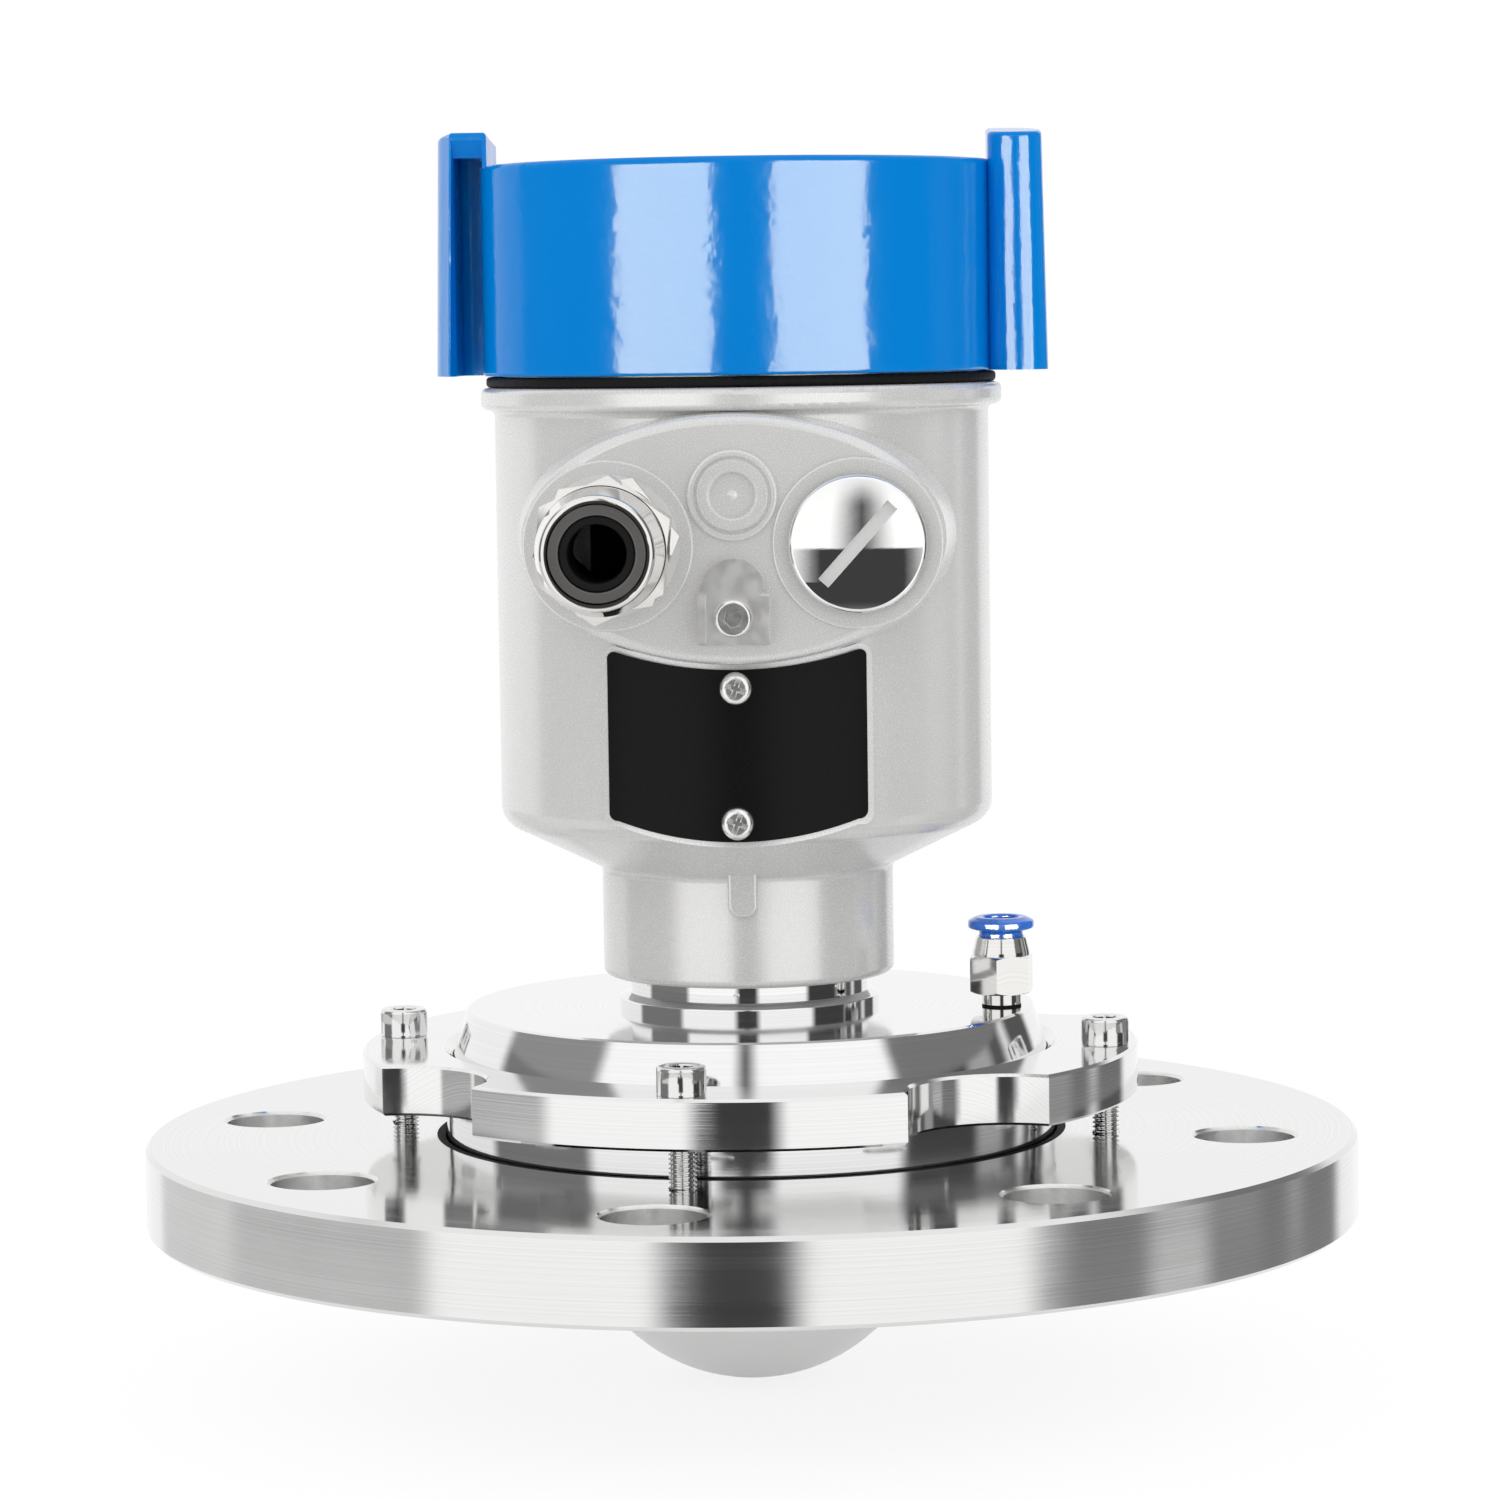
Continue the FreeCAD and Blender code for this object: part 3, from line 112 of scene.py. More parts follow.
# Clamp screws, in millimetres, with the real M5 thread that their plain solids leave out
SCREW_NODE = "clamp_screws"
SCREW_COUNT = 4
SCREW_PATTERN_TURN_DEG = -8.4
SCREW_CIRCLE_R = 65.0
SCREW_MAJOR_R = 2.44
SCREW_MINOR_R = 2.02
SCREW_PITCH = 0.8
SCREW_END_Z = 7.5
SCREW_SEAT_Z = 33.6
SCREW_HEAD_R = 4.25
SCREW_HEAD_H = 5.0
SCREW_SOCKET_AF = 4.0
SCREW_SOCKET_DEPTH = 2.5
SCREW_THREAD_FROM_Z = 15.0
SCREW_THREAD_TO_Z = 27.0
SCREW_KNURL_DEPTH = 0.10
SCREW_CHAMFER = 0.4
SCREW_BROKEN_EDGE = 0.12
THREAD_STEPS = 36
THREAD_OVERLAP = 0.03
THREAD_SECTION = ((-0.46, 0.0), (-0.08, 1.0), (0.08, 1.0), (0.46, 0.0))
ROUND_STEPS = 96

# The blind plug's polished face: how strongly it is crowned, per metre, its low apex and its milled slot
DOME_CURVE_ACROSS = 4.0
DOME_CURVE_UP = 16.0
DOME_APEX = (0.0, 0.0, -0.0049)
PLUG_FACE_R = 0.0108
PLUG_SLOT_FLOOR = 0.0011
MILLED_ROUGHNESS = 0.55

# The flange: what its drilled bores and its turned upper face add to the roughness
BOLT_CIRCLE_R = 0.090
BOLT_BORE_R = 0.0093
BOLT_STEP_DEG = 45.0
FLANGE_TOP_Z = 0.0174
BORE_ROUGHNESS_ADDED = 0.16
FACE_ROUGHNESS_ADDED = -0.05

# Keeps the turning marks apart where a face meets a barrel
LATHE_HEIGHT_SHARE = 1.31

SMOOTH_BELOW_DEG = 32.0

# The floor: pale and matt under the object, and white further out
FLOOR_SIZE = 6.0
FLOOR_COLOUR = 0.96
FLOOR_FADE_FROM = 0.03
FLOOR_FADE_TO = 0.14
FLOOR_WHITE_SHARE = 0.84
FLOOR_CLEARANCE = 0.0002


def grey(level):
    return (level, level, level, 1.0)


class Graph:
    """The nodes of a material or a world. A value given to a call is a number, a tuple or a socket."""

    def __init__(self, owner):
        owner.use_nodes = True
        self.nodes = owner.node_tree.nodes
        self.links = owner.node_tree.links
        self.nodes.clear()

    def feed(self, socket, value):
        if isinstance(value, bpy.types.NodeSocket):
            self.links.new(value, socket)
        elif value is not None:
            socket.default_value = value

    def math(self, operation, a, b=None, c=None):
        node = self.nodes.new("ShaderNodeMath")
        node.operation = operation
        for socket, value in zip(node.inputs, (a, b, c)):
            self.feed(socket, value)
        return node.outputs[0]

    def vector(self, operation, a, b=None):
        node = self.nodes.new("ShaderNodeVectorMath")
        node.operation = operation
        self.feed(node.inputs[0], a)
        self.feed(node.inputs[1], b)
        return node.outputs["Value"] if operation in ("LENGTH", "DOT_PRODUCT") else node.outputs["Vector"]

    def axes(self, vector):
        node = self.nodes.new("ShaderNodeSeparateXYZ")
        self.feed(node.inputs[0], vector)
        return node.outputs

    def place_in(self, space):
        return self.nodes.new("ShaderNodeTexCoord").outputs[space]

    def spread(self, value, low, high, from_low=0.3, from_high=0.7):
        """Maps a texture's usual range to another."""
        node = self.nodes.new("ShaderNodeMapRange")
        for name, number in zip(("Value", "From Min", "From Max", "To Min", "To Max"),
                                (value, from_low, from_high, low, high)):
            self.feed(node.inputs[name], number)
        return node.outputs["Result"]

    def fade(self, value, start, end, low=0.0):
        """Rises smoothly from low to 1 between start and end."""
        result = self.spread(value, low, 1.0, start, end)
        result.node.interpolation_type = "SMOOTHSTEP"
        return result

    def blend(self, share, a, b):
        node = self.nodes.new("ShaderNodeMix")
        node.data_type = "RGBA"
        self.feed(node.inputs["Factor"], share)
        self.feed(node.inputs["A"], a)
        self.feed(node.inputs["B"], b)
        return node.outputs["Result"]

    def panel_level(self, turn, panels):
        """The grey level of the panel at an angle in radians, with soft edges between the panels."""
        stops = [panels[0]]
        for (_, before), (degrees, after) in zip(panels, panels[1:]):
            stops += [(degrees - PANEL_EDGE_DEG / 2, before), (degrees + PANEL_EDGE_DEG / 2, after)]
        node = self.nodes.new("ShaderNodeValToRGB")
        ramp = node.color_ramp.elements
        while len(ramp) > 1:
            ramp.remove(ramp[-1])
        for i, (degrees, level) in enumerate(stops):
            position = degrees / 360.0 + 0.5
            stop = ramp[0] if i == 0 else ramp.new(position)
            stop.position = position
            stop.color = grey(level)
        self.feed(node.inputs["Fac"], self.math("ADD", self.math("DIVIDE", turn, 2 * math.pi), 0.5))
        return node.outputs["Color"]


class Look(Graph):
    """One procedural material: a principled shader and the texture nodes that feed it."""

    def __init__(self, name, colour, roughness, metallic=0.0):
        self.material = bpy.data.materials.new(name)
        super().__init__(self.material)
        output = self.nodes.new("ShaderNodeOutputMaterial")
        self.shader = self.nodes.new("ShaderNodeBsdfPrincipled")
        self.links.new(self.shader.outputs["BSDF"], output.inputs["Surface"])
        self.place = self.place_in("Object")
        self.set("Base Color", (*colour, 1.0))
        self.set("Roughness", roughness)
        self.set("Metallic", metallic)

    def set(self, name, value):
        self.feed(self.shader.inputs[name], value)

    def noise(self, scale, detail=2.0, vector=None, line=None, distortion=0.0, roughness=0.5):
        """Noise in space, or along a line where only one number is given."""
        node = self.nodes.new("ShaderNodeTexNoise")
        if line is not None:
            node.noise_dimensions = "1D"
            self.feed(node.inputs["W"], line)
        else:
            self.feed(node.inputs["Vector"], vector if vector is not None else self.place)
        self.feed(node.inputs["Scale"], scale)
        self.feed(node.inputs["Detail"], detail)
        self.feed(node.inputs["Roughness"], roughness)
        self.feed(node.inputs["Distortion"], distortion)
        return node.outputs["Fac"]

    def stretched(self, x, y, z):
        return self.vector("MULTIPLY", self.place, (x, y, z))

    def lathe_line(self, centre=(0, 0, 0), axis="z"):
        """A number that is the same along each turning mark, on faces and on barrels alike."""
        local = self.vector("SUBTRACT", self.place, tuple(centre))
        across = {"x": (0, 1, 1), "y": (1, 0, 1), "z": (1, 1, 0)}[axis]
        along = {"x": (1, 0, 0), "y": (0, 1, 0), "z": (0, 0, 1)}[axis]
        radius = self.vector("LENGTH", self.vector("MULTIPLY", local, across))
        height = self.vector("DOT_PRODUCT", local, along)
        return self.math("MULTIPLY_ADD", height, LATHE_HEIGHT_SHARE, radius)

    def bumps(self, *layers):
        """Stacks (height, distance in metres, strength) layers into one normal."""
        normal = None
        for height, distance, strength in layers:
            node = self.nodes.new("ShaderNodeBump")
            self.feed(node.inputs["Height"], height)
            self.feed(node.inputs["Distance"], distance)
            self.feed(node.inputs["Strength"], strength)
            if normal is not None:
                self.links.new(normal, node.inputs["Normal"])
            normal = node.outputs["Normal"]
        self.links.new(normal, self.shader.inputs["Normal"])

    def brushed(self, amount):
        """Stretches reflections across the turning marks, which run round the upright axis."""
        node = self.nodes.new("ShaderNodeTangent")
        node.direction_type = "RADIAL"
        node.axis = "Z"
        self.set("Tangent", node.outputs["Tangent"])
        self.set("Anisotropic", amount)
        self.set("Anisotropic Rotation", 0.25)


def tinted(colour, share):
    return tuple(min(1.0, c * share) for c in colour) + (1.0,)


def varied_colour(look, colour, texture, low=0.93, high=1.05):
    look.set("Base Color", look.blend(texture, tinted(colour, low), tinted(colour, high)))


def turned_steel(name, colour, roughness, marks_per_mm, mark_depth, brush=0.0, centre=(0, 0, 0), axis="z"):
    """Machined steel: turning marks of two widths, faint stains, and a brushed sheen where brush is set."""
    look = Look(name, colour, roughness, metallic=1.0)
    line = look.lathe_line(centre, axis)
    fine = look.noise(marks_per_mm / MM, 3.0, line=line, roughness=0.65)
    broad = look.noise(0.0875 * marks_per_mm / MM, 2.0, line=line)
    stain = look.noise(28.0, 4.0, distortion=0.4)
    scratch = look.noise(900.0, 2.0, vector=look.stretched(1.0, 1.0, 6.0))
    tone = look.math("MULTIPLY", look.spread(fine, 0.0, 1.0), look.spread(stain, 0.55, 1.0))
    varied_colour(look, colour, tone, 0.93, 1.03)
    rough = look.math("ADD", look.spread(stain, -0.25 * roughness, 0.25 * roughness), roughness)
    rough = look.math("ADD", rough, look.spread(broad, -0.12 * roughness, 0.12 * roughness))
    look.set("Roughness", rough)
    look.bumps((fine, mark_depth, 0.6), (broad, 2.0 * mark_depth, 0.35), (scratch, 0.4 * mark_depth, 0.2))
    if brush:
        look.brushed(brush)
    return look


def drilled_flange(name, colour, roughness, marks_per_mm, mark_depth, brush):
    """Turned steel whose upper face is smoother, and whose drilled bores are rougher."""
    look = turned_steel(name, colour, roughness, marks_per_mm, mark_depth, brush)
    turned = look.shader.inputs["Roughness"].links[0].from_socket
    x, y, z = look.axes(look.place)
    around = look.math("ARCTAN2", x, look.math("MULTIPLY", y, -1.0))
    start = math.radians(SCREW_PATTERN_TURN_DEG)
    step = math.radians(BOLT_STEP_DEG)
    whole = look.math("WRAP", look.math("SUBTRACT", around, start), step / 2, -step / 2)
    radius = look.vector("LENGTH", look.vector("MULTIPLY", look.place, (1, 1, 0)))
    out = look.math("MULTIPLY_ADD", radius, look.math("COSINE", whole), -BOLT_CIRCLE_R)
    side = look.math("MULTIPLY", radius, look.math("SINE", whole))
    away = look.math("SQRT", look.math("MULTIPLY_ADD", out, out, look.math("MULTIPLY", side, side)))
    bore = look.math("LESS_THAN", away, BOLT_BORE_R)
    top = look.math("GREATER_THAN", z, FLANGE_TOP_Z)
    face = look.math("MULTIPLY", top, look.math("SUBTRACT", 1.0, bore))
    rough = look.math("MULTIPLY_ADD", bore, BORE_ROUGHNESS_ADDED, turned)
    look.set("Roughness", look.math("MULTIPLY_ADD", face, FACE_ROUGHNESS_ADDED, rough))
    return look


def plated(name, colour, roughness, ripple=12 * UM):
    """Bright plating: a mirror with a slight ripple and faint hazing."""
    look = Look(name, colour, roughness, metallic=1.0)
    wave = look.noise(170.0, 2.0, distortion=0.3)
    haze = look.noise(420.0, 4.0)
    look.set("Roughness", look.spread(haze, 0.88 * roughness, 1.15 * roughness))
    varied_colour(look, colour, haze, 0.96, 1.02)
    look.bumps((wave, ripple, 0.5), (haze, 0.2 * ripple, 0.4))
    return look


def domed_mirror(name, colour, roughness, centre, face_y):
    """A polished plated face, crowned by the buffing wheel; its slot is milled and stays matt."""
    look = Look(name, colour, roughness, metallic=1.0)
    local = look.vector("SUBTRACT", look.place, (centre.x, face_y, centre.z))
    flat = look.vector("MULTIPLY", local, (1, 0, 1))
    reach = look.vector("LENGTH", flat)
    depth = look.vector("DOT_PRODUCT", local, (0, 1, 0))
    sunk = look.math("GREATER_THAN", depth, PLUG_SLOT_FLOOR)
    inside = look.math("LESS_THAN", reach, PLUG_FACE_R)
    milled = look.math("MULTIPLY", sunk, inside)
    polished = look.math("SUBTRACT", 1.0, milled)
    crown = look.vector("SUBTRACT", flat, DOME_APEX)
    bend = look.vector("MULTIPLY", crown, (-DOME_CURVE_ACROSS, 0, -DOME_CURVE_UP))
    dome = look.vector("DOT_PRODUCT", crown, bend)
    wiped = look.vector("MULTIPLY", local, (240.0, 1.0, 900.0))
    streaks = look.noise(1.0, 3.0, vector=wiped, distortion=0.5)
    haze = look.noise(500.0, 3.0)
    mirror = look.spread(haze, 0.7 * roughness, 1.5 * roughness)
    look.set("Roughness", look.math("MULTIPLY_ADD", milled, MILLED_ROUGHNESS, mirror))
    varied_colour(look, colour, haze, 0.97, 1.01)
    look.bumps((look.math("MULTIPLY", dome, polished), 1.0, 1.0), (streaks, 10 * UM, 0.35))
    return look


def cast_paint(name, colour, roughness, peel_size, peel_depth, coat=0.0, specular=0.5, flake=0.0):
    """Powder paint over a casting: orange peel, slow waves of the casting and fine grain."""
    look = Look(name, colour, roughness)
    peel = look.noise(1.0 / peel_size, 2.5, roughness=0.6)
    wave = look.noise(70.0, 2.0)
    grain = look.noise(3800.0, 2.0)
    tone = look.math("MULTIPLY_ADD", wave, 0.6, look.spread(grain, 0.0, 0.4))
    varied_colour(look, colour, tone, 0.96, 1.03)
    look.set("Roughness", look.spread(grain, 0.85 * roughness, 1.2 * roughness))
    look.set("Metallic", flake)
    look.set("Coat Weight", coat)
    look.set("Coat Roughness", 0.10)
    look.set("Coat IOR", 1.6)
    look.set("Specular IOR Level", specular)
    look.bumps((wave, 6.0 * peel_depth, 0.35), (peel, peel_depth, 0.6), (grain, 0.03 * peel_depth, 0.3))
    return look


def moulded(name, colour, roughness, grain_size=0.0006, depth=12 * UM, specular=0.5):
    """Moulded plastic or rubber with a fine spark-eroded grain and faint flow marks."""
    look = Look(name, colour, roughness)
    look.set("Specular IOR Level", specular)
    grain = look.noise(1.0 / grain_size, 3.0)
    flow = look.noise(60.0, 3.0, distortion=1.2)
    varied_colour(look, colour, flow, 0.9, 1.1)
    look.set("Roughness", look.spread(grain, 0.85 * roughness, 1.15 * roughness))
    look.bumps((grain, depth, 0.5), (flow, 3.0 * depth, 0.25))
    return look


def circuit_board(name, colour, track_colour):
    """Solder mask over copper tracks, with rows of plated pads."""
    look = Look(name, colour, 0.35)
    tracks = look.nodes.new("ShaderNodeTexBrick")
    tracks.offset = 0.37
    tracks.squash = 1.6
    look.feed(tracks.inputs["Vector"], look.vector("MULTIPLY", look.place, (1.0, 1.0, 0.0)))
    look.feed(tracks.inputs["Scale"], 260.0)
    look.feed(tracks.inputs["Mortar Size"], 0.07)
    pads = look.nodes.new("ShaderNodeTexVoronoi")
    look.feed(pads.inputs["Vector"], look.vector("MULTIPLY", look.place, (1.0, 1.0, 0.0)))
    look.feed(pads.inputs["Scale"], 420.0)
    look.feed(pads.inputs["Randomness"], 0.35)
    pad = look.math("LESS_THAN", pads.outputs["Distance"], 0.16)
    mask = look.blend(tracks.outputs["Fac"], (*colour, 1.0), tinted(colour, 1.9))
    look.set("Base Color", look.blend(pad, mask, (*track_colour, 1.0)))
    look.set("Metallic", look.math("MULTIPLY", pad, 0.9))
    look.bumps((tracks.outputs["Fac"], 40 * UM, 0.5), (pad, 50 * UM, 0.5))
    return look


def white_lens(name, colour):
    """Turned PTFE: waxy white that lets a little light in, with faint turning marks."""
    look = Look(name, colour, 0.38)
    line = look.lathe_line()
    marks = look.noise(2600.0, 2.0, line=line)
    cloud = look.noise(45.0, 3.0)
    varied_colour(look, colour, cloud, 0.97, 1.02)
    look.set("Subsurface Weight", 0.25)
    look.set("Subsurface Radius", (0.004, 0.004, 0.004))
    look.set("Subsurface Scale", 1.0)
    look.set("Roughness", look.spread(marks, 0.32, 0.44))
    look.bumps((marks, 10 * UM, 0.4), (cloud, 30 * UM, 0.2))
    return look


def clear_blue(name, colour):
    """The release collar's tinted plastic, which glows where it is thin."""
    look = Look(name, colour, 0.22)
    flow = look.noise(160.0, 2.0)
    varied_colour(look, colour, flow, 0.9, 1.1)
    look.set("Subsurface Weight", 0.45)
    look.set("Subsurface Radius", (0.0006, 0.0016, 0.0035))
    look.set("Subsurface Scale", 1.0)
    look.set("Coat Weight", 0.5)
    look.set("Roughness", look.spread(flow, 0.18, 0.28))
    look.bumps((flow, 20 * UM, 0.3))
    return look


def centre_of(node):
    low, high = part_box(node)
    return (low + high) / 2


def looks_by_node():
    """The material of each CAD node."""
    gland = centre_of("gland_nut")
    plug = centre_of("blind_plug")
    purge = centre_of("purge_fitting")
    flange = drilled_flange("flange_steel", (0.80, 0.80, 0.795), 0.14,
                            marks_per_mm=2.2, mark_depth=7 * UM, brush=0.75)
    ring = turned_steel("clamp_ring_steel", (0.84, 0.84, 0.835), 0.085,
                        marks_per_mm=2.6, mark_depth=3 * UM, brush=0.55)
    crown = turned_steel("ball_steel", (0.86, 0.86, 0.86), 0.085,
                         marks_per_mm=2.0, mark_depth=2 * UM, brush=0.4)
    neck = turned_steel("neck_steel", (0.88, 0.88, 0.88), 0.03,
                        marks_per_mm=2.0, mark_depth=0.6 * UM, brush=0.2)
    horn = turned_steel("horn_steel", (0.68, 0.68, 0.68), 0.24,
                        marks_per_mm=2.0, mark_depth=8 * UM, brush=0.6)
    nickel = turned_steel("gland_nickel", (0.82, 0.805, 0.78), 0.05,
                          marks_per_mm=1.6, mark_depth=1.2 * UM, centre=gland, axis="y")
    fitting = turned_steel("fitting_nickel", (0.82, 0.81, 0.79), 0.06,
                           marks_per_mm=1.6, mark_depth=2 * UM, centre=purge)
    plug_look = domed_mirror("plug_nickel", (0.92, 0.92, 0.915), 0.02, plug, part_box("blind_plug")[0].y)
    screws = plated("screw_steel", (0.78, 0.78, 0.775), 0.10, ripple=20 * UM)
    clamp = plated("clamp_steel", (0.87, 0.865, 0.85), 0.36, ripple=1.5 * UM)
    small_screws = plated("small_screw_steel", (0.90, 0.895, 0.88), 0.24, ripple=2 * UM)
    spring = plated("spring_steel", (0.52, 0.52, 0.53), 0.25)
    brass = plated("brass", (0.78, 0.62, 0.32), 0.18)
    shield = plated("module_shield", (0.72, 0.72, 0.73), 0.24, ripple=30 * UM)
    housing = cast_paint("grey_paint", (0.73, 0.727, 0.72), 0.25,
                         peel_size=0.0011, peel_depth=9 * UM, coat=0.5, flake=0.16)
    cap = cast_paint("blue_paint", (0.0, 0.225, 0.69), 0.11,
                     peel_size=0.0026, peel_depth=110 * UM, specular=0.12)
    plate = cast_paint("black_plate", (0.006, 0.006, 0.0065), 0.30,
                       peel_size=0.0006, peel_depth=4 * UM, specular=0.12)
    rubber = moulded("black_rubber", (0.008, 0.008, 0.0085), 0.6,
                     grain_size=0.0005, depth=10 * UM, specular=0.15)
    cage = moulded("gland_cage_plastic", (0.11, 0.104, 0.10), 0.24)
    white = moulded("white_plastic", (0.84, 0.84, 0.83), 0.42)
    nylon = moulded("white_nylon", (0.74, 0.74, 0.72), 0.40)
    black = moulded("black_plastic", (0.03, 0.03, 0.032), 0.45)
    green = moulded("terminal_green", (0.08, 0.34, 0.13), 0.38)
    board = circuit_board("board_green", (0.015, 0.13, 0.055), (0.75, 0.68, 0.45))
    lens = white_lens("lens_ptfe", (0.97, 0.97, 0.965))
    collar = clear_blue("blue_plastic", (0.008, 0.16, 0.66))
    return {
        "process_flange": flange, "clamp_ring": ring, "swivel_ball": crown, "process_neck": neck,
        "antenna_horn": horn, "purge_fitting": fitting, "gland_body": nickel, "gland_nut": nickel,
        "blind_plug": plug_look, "clamp_screws": screws, "nameplate_screws": small_screws,
        "ground_screw": small_screws, "terminal_screws": screws, "cup_screws": screws,
        "ground_clamp": clamp, "retaining_ring": spring, "purge_grip_ring": spring,
        "waveguide": brass, "board_pillars": brass, "microwave_module": shield,
        "housing": housing, "cap": cap, "nameplate": plate,
        "ball_seal": rubber, "lens_seal": rubber, "neck_seal": rubber, "purge_gasket": rubber,
        "purge_tube_seal": rubber, "gland_seal": rubber, "plug_seal": rubber, "cap_seal": rubber,
        "gland_cage": cage, "seat_liner": white, "gland_washer": nylon,
        "electronics_cup": black, "terminal_plate": black, "terminal_block": green,
        "main_board": board, "power_board": board, "antenna_lens": lens, "purge_collar": collar,
    }


def dress(node, look):
    """Gives a CAD node its material and smooth shading between its facets."""
    mesh = node.data
    mesh.materials.clear()
    mesh.materials.append(look.material)
    for face in mesh.polygons:
        face.use_smooth = True
    mesh.set_sharp_from_angle(angle=math.radians(SMOOTH_BELOW_DEG))


def azimuth_place(distance, azimuth_deg, height=0.0):
    """A point round the object: azimuth 0 is the front, and it grows towards +X."""
    a = math.radians(azimuth_deg)
    return Vector((distance * math.sin(a), -distance * math.cos(a), height))


def make_camera():
    data = bpy.data.cameras.new("camera")
    data.sensor_width = SENSOR_MM
    data.lens = FOCAL_PX / IMAGE_WIDTH_PX * SENSOR_MM
    data.clip_start, data.clip_end = CAMERA_CLIP
    camera = bpy.data.objects.new("camera", data)
    bpy.context.scene.collection.objects.link(camera)
    side = azimuth_place(CAMERA_SIDE_SHIFT, CAMERA_AZIMUTH_DEG + 90.0)
    camera.location = azimuth_place(CAMERA_DISTANCE, CAMERA_AZIMUTH_DEG, CAMERA_HEIGHT) + side
    look_at = -azimuth_place(1.0, CAMERA_AZIMUTH_DEG)
    look_at.z = -math.tan(math.radians(CAMERA_PITCH_DEG))
    turn = look_at.to_track_quat("-Z", "Y").to_matrix()
    roll = math.radians(CAMERA_ROLL_DEG)
    rolled = turn @ Vector((math.sin(roll), math.cos(roll), 0))
    right = look_at.cross(rolled).normalized()
    up = right.cross(look_at).normalized()
    axes = Matrix((right, up, -look_at.normalized())).transposed()
    camera.rotation_mode = "QUATERNION"
    camera.rotation_quaternion = axes.to_quaternion()
    bpy.context.scene.camera = camera


def make_world():
    """White behind the object, plain light, and in reflections a studio of bright walls and dark gaps."""
    world = bpy.data.worlds.new("studio")
    bpy.context.scene.world = world
    graph = Graph(world)
    x, y, height = graph.axes(graph.place_in("Generated"))
    turn = graph.math("ARCTAN2", x, graph.math("MULTIPLY", y, -1.0))
    room = grey(FLOOR_LEVEL)
    for start, end, panels in STUDIO_BANDS:
        above = graph.panel_level(turn, panels)
        room = graph.blend(graph.fade(height, start, end), room, above)
    ray = graph.nodes.new("ShaderNodeLightPath").outputs
    lit = graph.blend(ray["Is Glossy Ray"], grey(PLAIN_LEVEL), room)
    background = graph.nodes.new("ShaderNodeBackground")
    graph.feed(background.inputs["Color"], graph.blend(ray["Is Camera Ray"], lit, grey(1.0)))
    output = graph.nodes.new("ShaderNodeOutputWorld")
    graph.feed(output.inputs["Surface"], background.outputs[0])


def make_softboxes(name, nodes, radiance, tint):
    """Broad lamps that show only as highlights on the nodes given."""
    receivers = bpy.data.collections.new(name)
    for node in nodes:
        receivers.objects.link(node)
    for azimuth in SOFTBOX_AZIMUTHS_DEG:
        data = bpy.data.lights.new(name, "AREA")
        data.shape = "RECTANGLE"
        data.size = 2 * SOFTBOX_DISTANCE * math.tan(math.radians(SOFTBOX_WIDTH_DEG / 2))
        data.size_y = SOFTBOX_HEIGHT
        data.color = tint
        data.energy = radiance * math.pi * data.size * data.size_y
        lamp = bpy.data.objects.new(name, data)
        bpy.context.scene.collection.objects.link(lamp)
        lamp.location = azimuth_place(SOFTBOX_DISTANCE, azimuth, SOFTBOX_Z)
        lamp.rotation_mode = "QUATERNION"
        lamp.rotation_quaternion = (SOFTBOX_AIM - lamp.location).to_track_quat("-Z", "Y")
        lamp.visible_camera = False
        lamp.visible_diffuse = False
        lamp.light_linking.receiver_collection = receivers


def floor_material():
    """Matt under the object, and to the camera white further out, so that it has no edge."""
    material = bpy.data.materials.new("floor_white")
    graph = Graph(material)
    reach = graph.vector("LENGTH", graph.place_in("Object"))
    fade = graph.fade(reach, FLOOR_FADE_FROM, FLOOR_FADE_TO, FLOOR_WHITE_SHARE)
    camera_ray = graph.nodes.new("ShaderNodeLightPath").outputs["Is Camera Ray"]
    matte = graph.nodes.new("ShaderNodeBsdfDiffuse")
    matte.inputs["Color"].default_value = grey(FLOOR_COLOUR)
    mix = graph.nodes.new("ShaderNodeMixShader")
    graph.feed(mix.inputs["Fac"], graph.math("MULTIPLY", fade, camera_ray))
    graph.feed(mix.inputs[1], matte.outputs[0])
    graph.feed(mix.inputs[2], graph.nodes.new("ShaderNodeEmission").outputs[0])
    output = graph.nodes.new("ShaderNodeOutputMaterial")
    graph.feed(output.inputs["Surface"], mix.outputs[0])
    return material


def make_floor():
    """A pale floor just under the lens, which keeps a soft shadow."""
    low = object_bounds()[0]
    mesh = bpy.data.meshes.new("floor")
    form = bmesh.new()
    bmesh.ops.create_grid(form, x_segments=1, y_segments=1, size=FLOOR_SIZE)
    form.to_mesh(mesh)
    form.free()
    floor = bpy.data.objects.new("floor", mesh)
    bpy.context.scene.collection.objects.link(floor)
    floor.location.z = low.z - FLOOR_CLEARANCE
    floor.visible_glossy = False
    mesh.materials.append(floor_material())


def point_at(form, centre, radius, angle, height):
    """A vertex at a radius and height in millimetres about an upright axis."""
    return form.verts.new((centre.x + radius * MM * math.cos(angle),
                           centre.y + radius * MM * math.sin(angle), height * MM))


def join_rings(form, low, high):
    """Closes the strip between two rings; a ring of one point is a tip."""
    for i in range(ROUND_STEPS):
        j = (i + 1) % ROUND_STEPS
        if len(low) == 1:
            form.faces.new((low[0], high[j], high[i]))
        elif len(high) == 1:
            form.faces.new((low[i], low[j], high[0]))
        else:
            form.faces.new((low[i], low[j], high[j], high[i]))


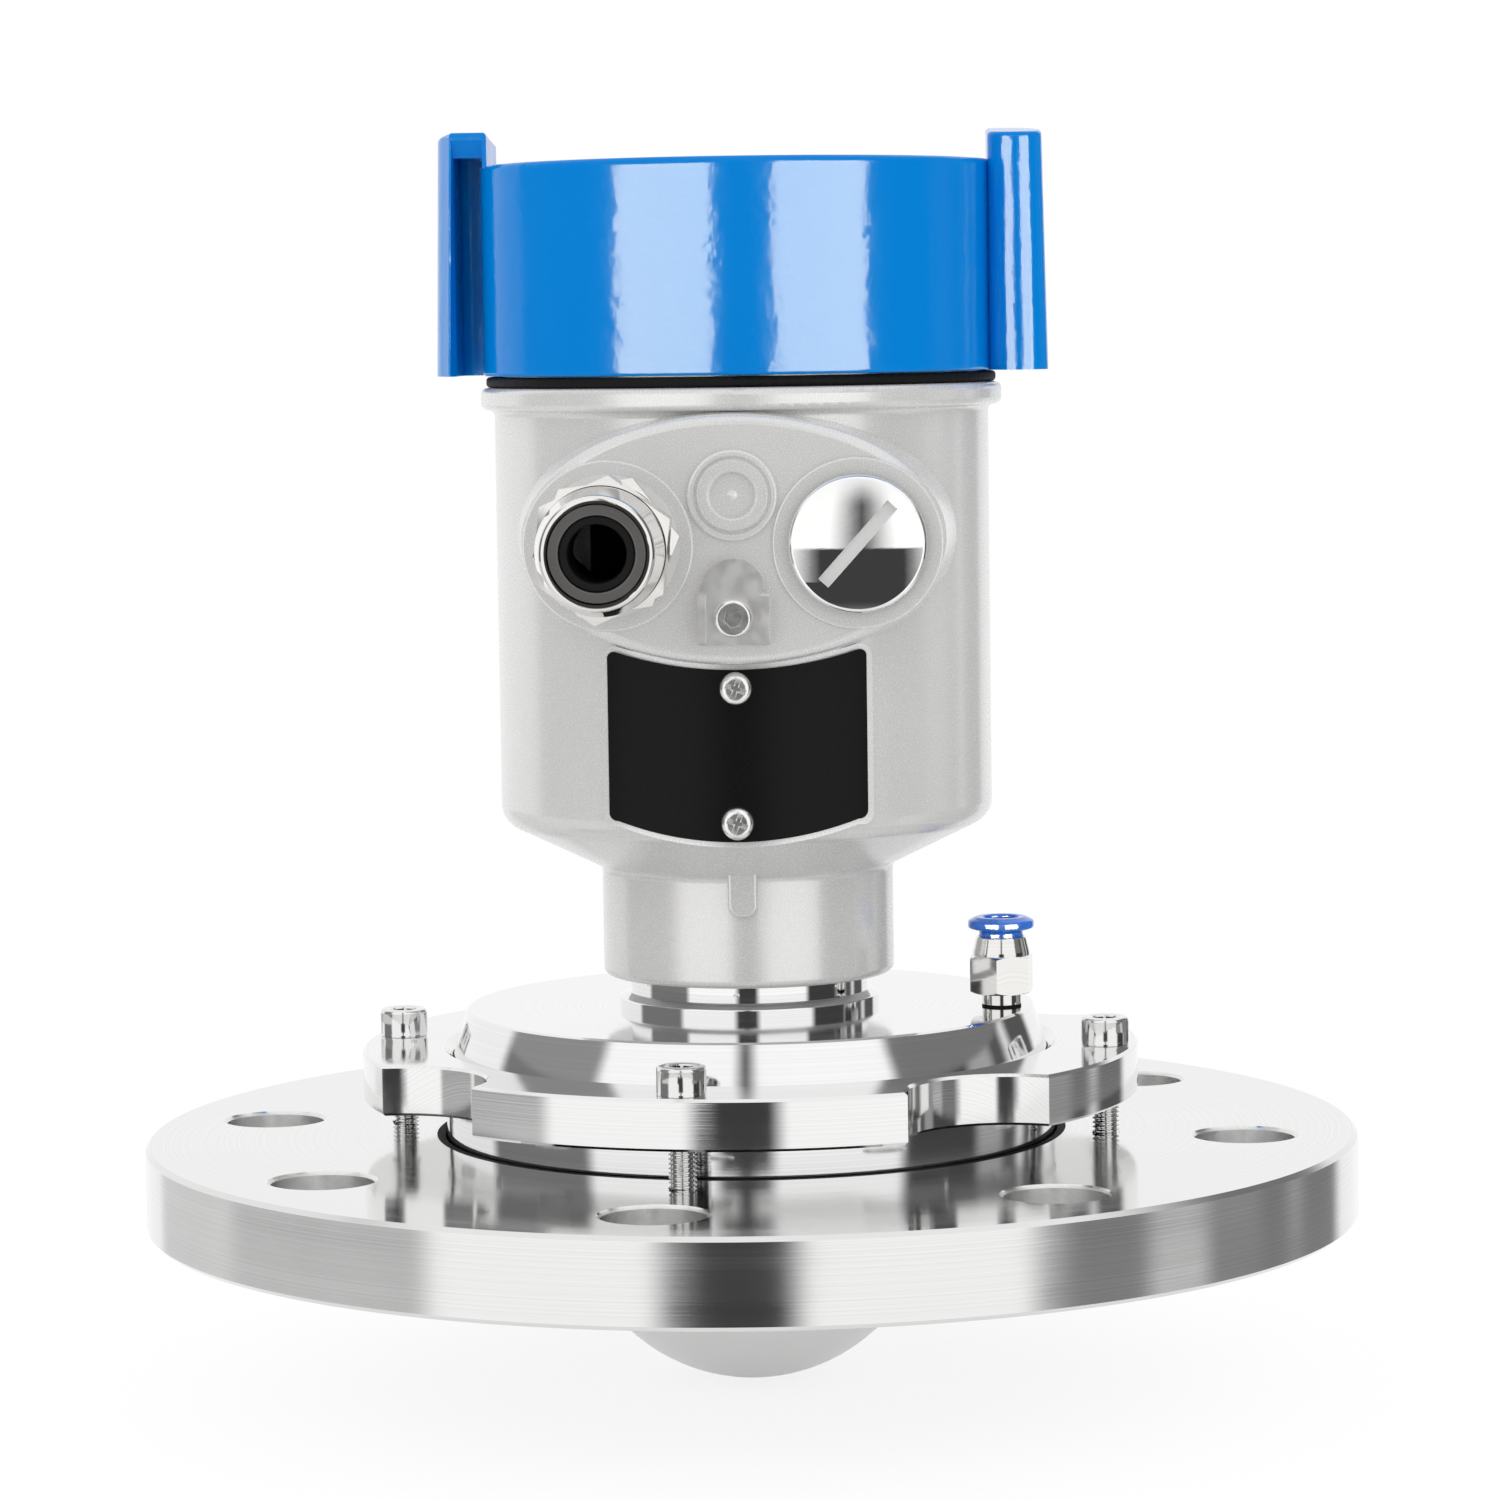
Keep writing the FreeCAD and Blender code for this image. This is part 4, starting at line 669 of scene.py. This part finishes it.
def lathe(form, profile, centre):
    """Turns (radius, height) points in millimetres about an upright axis; a radius of 0 closes it.

    A third number is the depth of a knurl, which is cut into every other step. Returns the last ring.
    """
    rings = []
    for radius, height, *knurl in profile:
        ring = []
        for i in range(ROUND_STEPS if radius else 1):
            reach = radius - (knurl[0] if knurl and i % 2 else 0.0)
            ring.append(point_at(form, centre, reach, 2 * math.pi * i / ROUND_STEPS, height))
        rings.append(ring)
    for low, high in zip(rings, rings[1:]):
        join_rings(form, low, high)
    return rings[-1]


def thread(form, centre):
    """The screw's helical ridge, which runs out smoothly at both ends."""
    total = int(round((SCREW_THREAD_TO_Z - SCREW_THREAD_FROM_Z) / SCREW_PITCH * THREAD_STEPS))
    root = SCREW_MINOR_R - THREAD_OVERLAP
    previous = None
    for i in range(total + 1):
        height = SCREW_THREAD_FROM_Z + SCREW_PITCH * i / THREAD_STEPS
        grow = min(1.0, i / THREAD_STEPS, (total - i) / THREAD_STEPS)
        ring = []
        for along, share in THREAD_SECTION:
            radius = root + (SCREW_MAJOR_R - root) * share * grow
            angle = 2 * math.pi * i / THREAD_STEPS
            ring.append(point_at(form, centre, radius, angle, height + along * SCREW_PITCH))
        if previous:
            for k in range(len(THREAD_SECTION) - 1):
                form.faces.new((previous[k], ring[k], ring[k + 1], previous[k + 1]))
        previous = ring


def hexagon_ring(form, centre, across_flats, height):
    """A ring of points on a hexagon's outline, at the same angles as a turned ring."""
    ring = []
    for i in range(ROUND_STEPS):
        angle = 2 * math.pi * i / ROUND_STEPS
        from_flat = (angle + math.pi / 6) % (math.pi / 3) - math.pi / 6
        ring.append(point_at(form, centre, across_flats / 2 / math.cos(from_flat), angle, height))
    return ring


def socket_screw(form, centre):
    """A socket head cap screw: threaded shank, knurled head with broken edges, hexagon socket."""
    top = SCREW_SEAT_Z + SCREW_HEAD_H
    last = lathe(form, [
        (0, SCREW_END_Z), (SCREW_MINOR_R - SCREW_CHAMFER, SCREW_END_Z),
        (SCREW_MINOR_R, SCREW_END_Z + SCREW_CHAMFER),
        (SCREW_MINOR_R, SCREW_THREAD_TO_Z), (SCREW_MAJOR_R, SCREW_THREAD_TO_Z + SCREW_CHAMFER),
        (SCREW_MAJOR_R, SCREW_SEAT_Z), (SCREW_HEAD_R - SCREW_BROKEN_EDGE, SCREW_SEAT_Z),
        (SCREW_HEAD_R, SCREW_SEAT_Z + SCREW_BROKEN_EDGE), (SCREW_HEAD_R, SCREW_SEAT_Z + 0.5),
        (SCREW_HEAD_R, SCREW_SEAT_Z + 0.6, SCREW_KNURL_DEPTH),
        (SCREW_HEAD_R, top - 0.75, SCREW_KNURL_DEPTH),
        (SCREW_HEAD_R, top - 0.65), (SCREW_HEAD_R - 0.06, top - 0.3),
        (SCREW_HEAD_R - 0.22, top - 0.1), (SCREW_HEAD_R - 0.5, top),
        (SCREW_SOCKET_AF / 2 * 1.27, top), (SCREW_SOCKET_AF / 2 * 1.17, top - SCREW_BROKEN_EDGE),
    ], centre)
    mouth = hexagon_ring(form, centre, SCREW_SOCKET_AF, top - 0.35)
    floor = hexagon_ring(form, centre, SCREW_SOCKET_AF, top - SCREW_SOCKET_DEPTH + 0.5)
    tip = [point_at(form, centre, 0.0, 0.0, top - SCREW_SOCKET_DEPTH)]
    for low, high in ((last, mouth), (mouth, floor), (floor, tip)):
        join_rings(form, low, high)
    thread(form, centre)


def make_clamp_screws(look):
    form = bmesh.new()
    for i in range(SCREW_COUNT):
        turn = SCREW_PATTERN_TURN_DEG + 360.0 * i / SCREW_COUNT
        socket_screw(form, azimuth_place(SCREW_CIRCLE_R * MM, turn))
    bmesh.ops.recalc_face_normals(form, faces=form.faces)
    mesh = bpy.data.meshes.new("socket_head_screws")
    form.to_mesh(mesh)
    form.free()
    piece = bpy.data.objects.new("socket_head_screws", mesh)
    bpy.context.scene.collection.objects.link(piece)
    dress(piece, look)
    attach(piece, "flange")
    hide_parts(SCREW_NODE)


bpy.context.scene.view_settings.view_transform = "Standard"
looks = looks_by_node()
for node_name, node_look in looks.items():
    dress(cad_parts[node_name], node_look)
make_clamp_screws(looks[SCREW_NODE])
make_camera()
make_world()
make_floor()
make_softboxes("cap_softbox", [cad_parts[name] for name in ("cap", "purge_collar")],
               CAP_SOFTBOX_RADIANCE, CAP_SOFTBOX_TINT)
make_softboxes("body_softbox", [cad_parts[name] for name in ("housing", "antenna_lens")],
               BODY_SOFTBOX_RADIANCE, BODY_SOFTBOX_TINT)
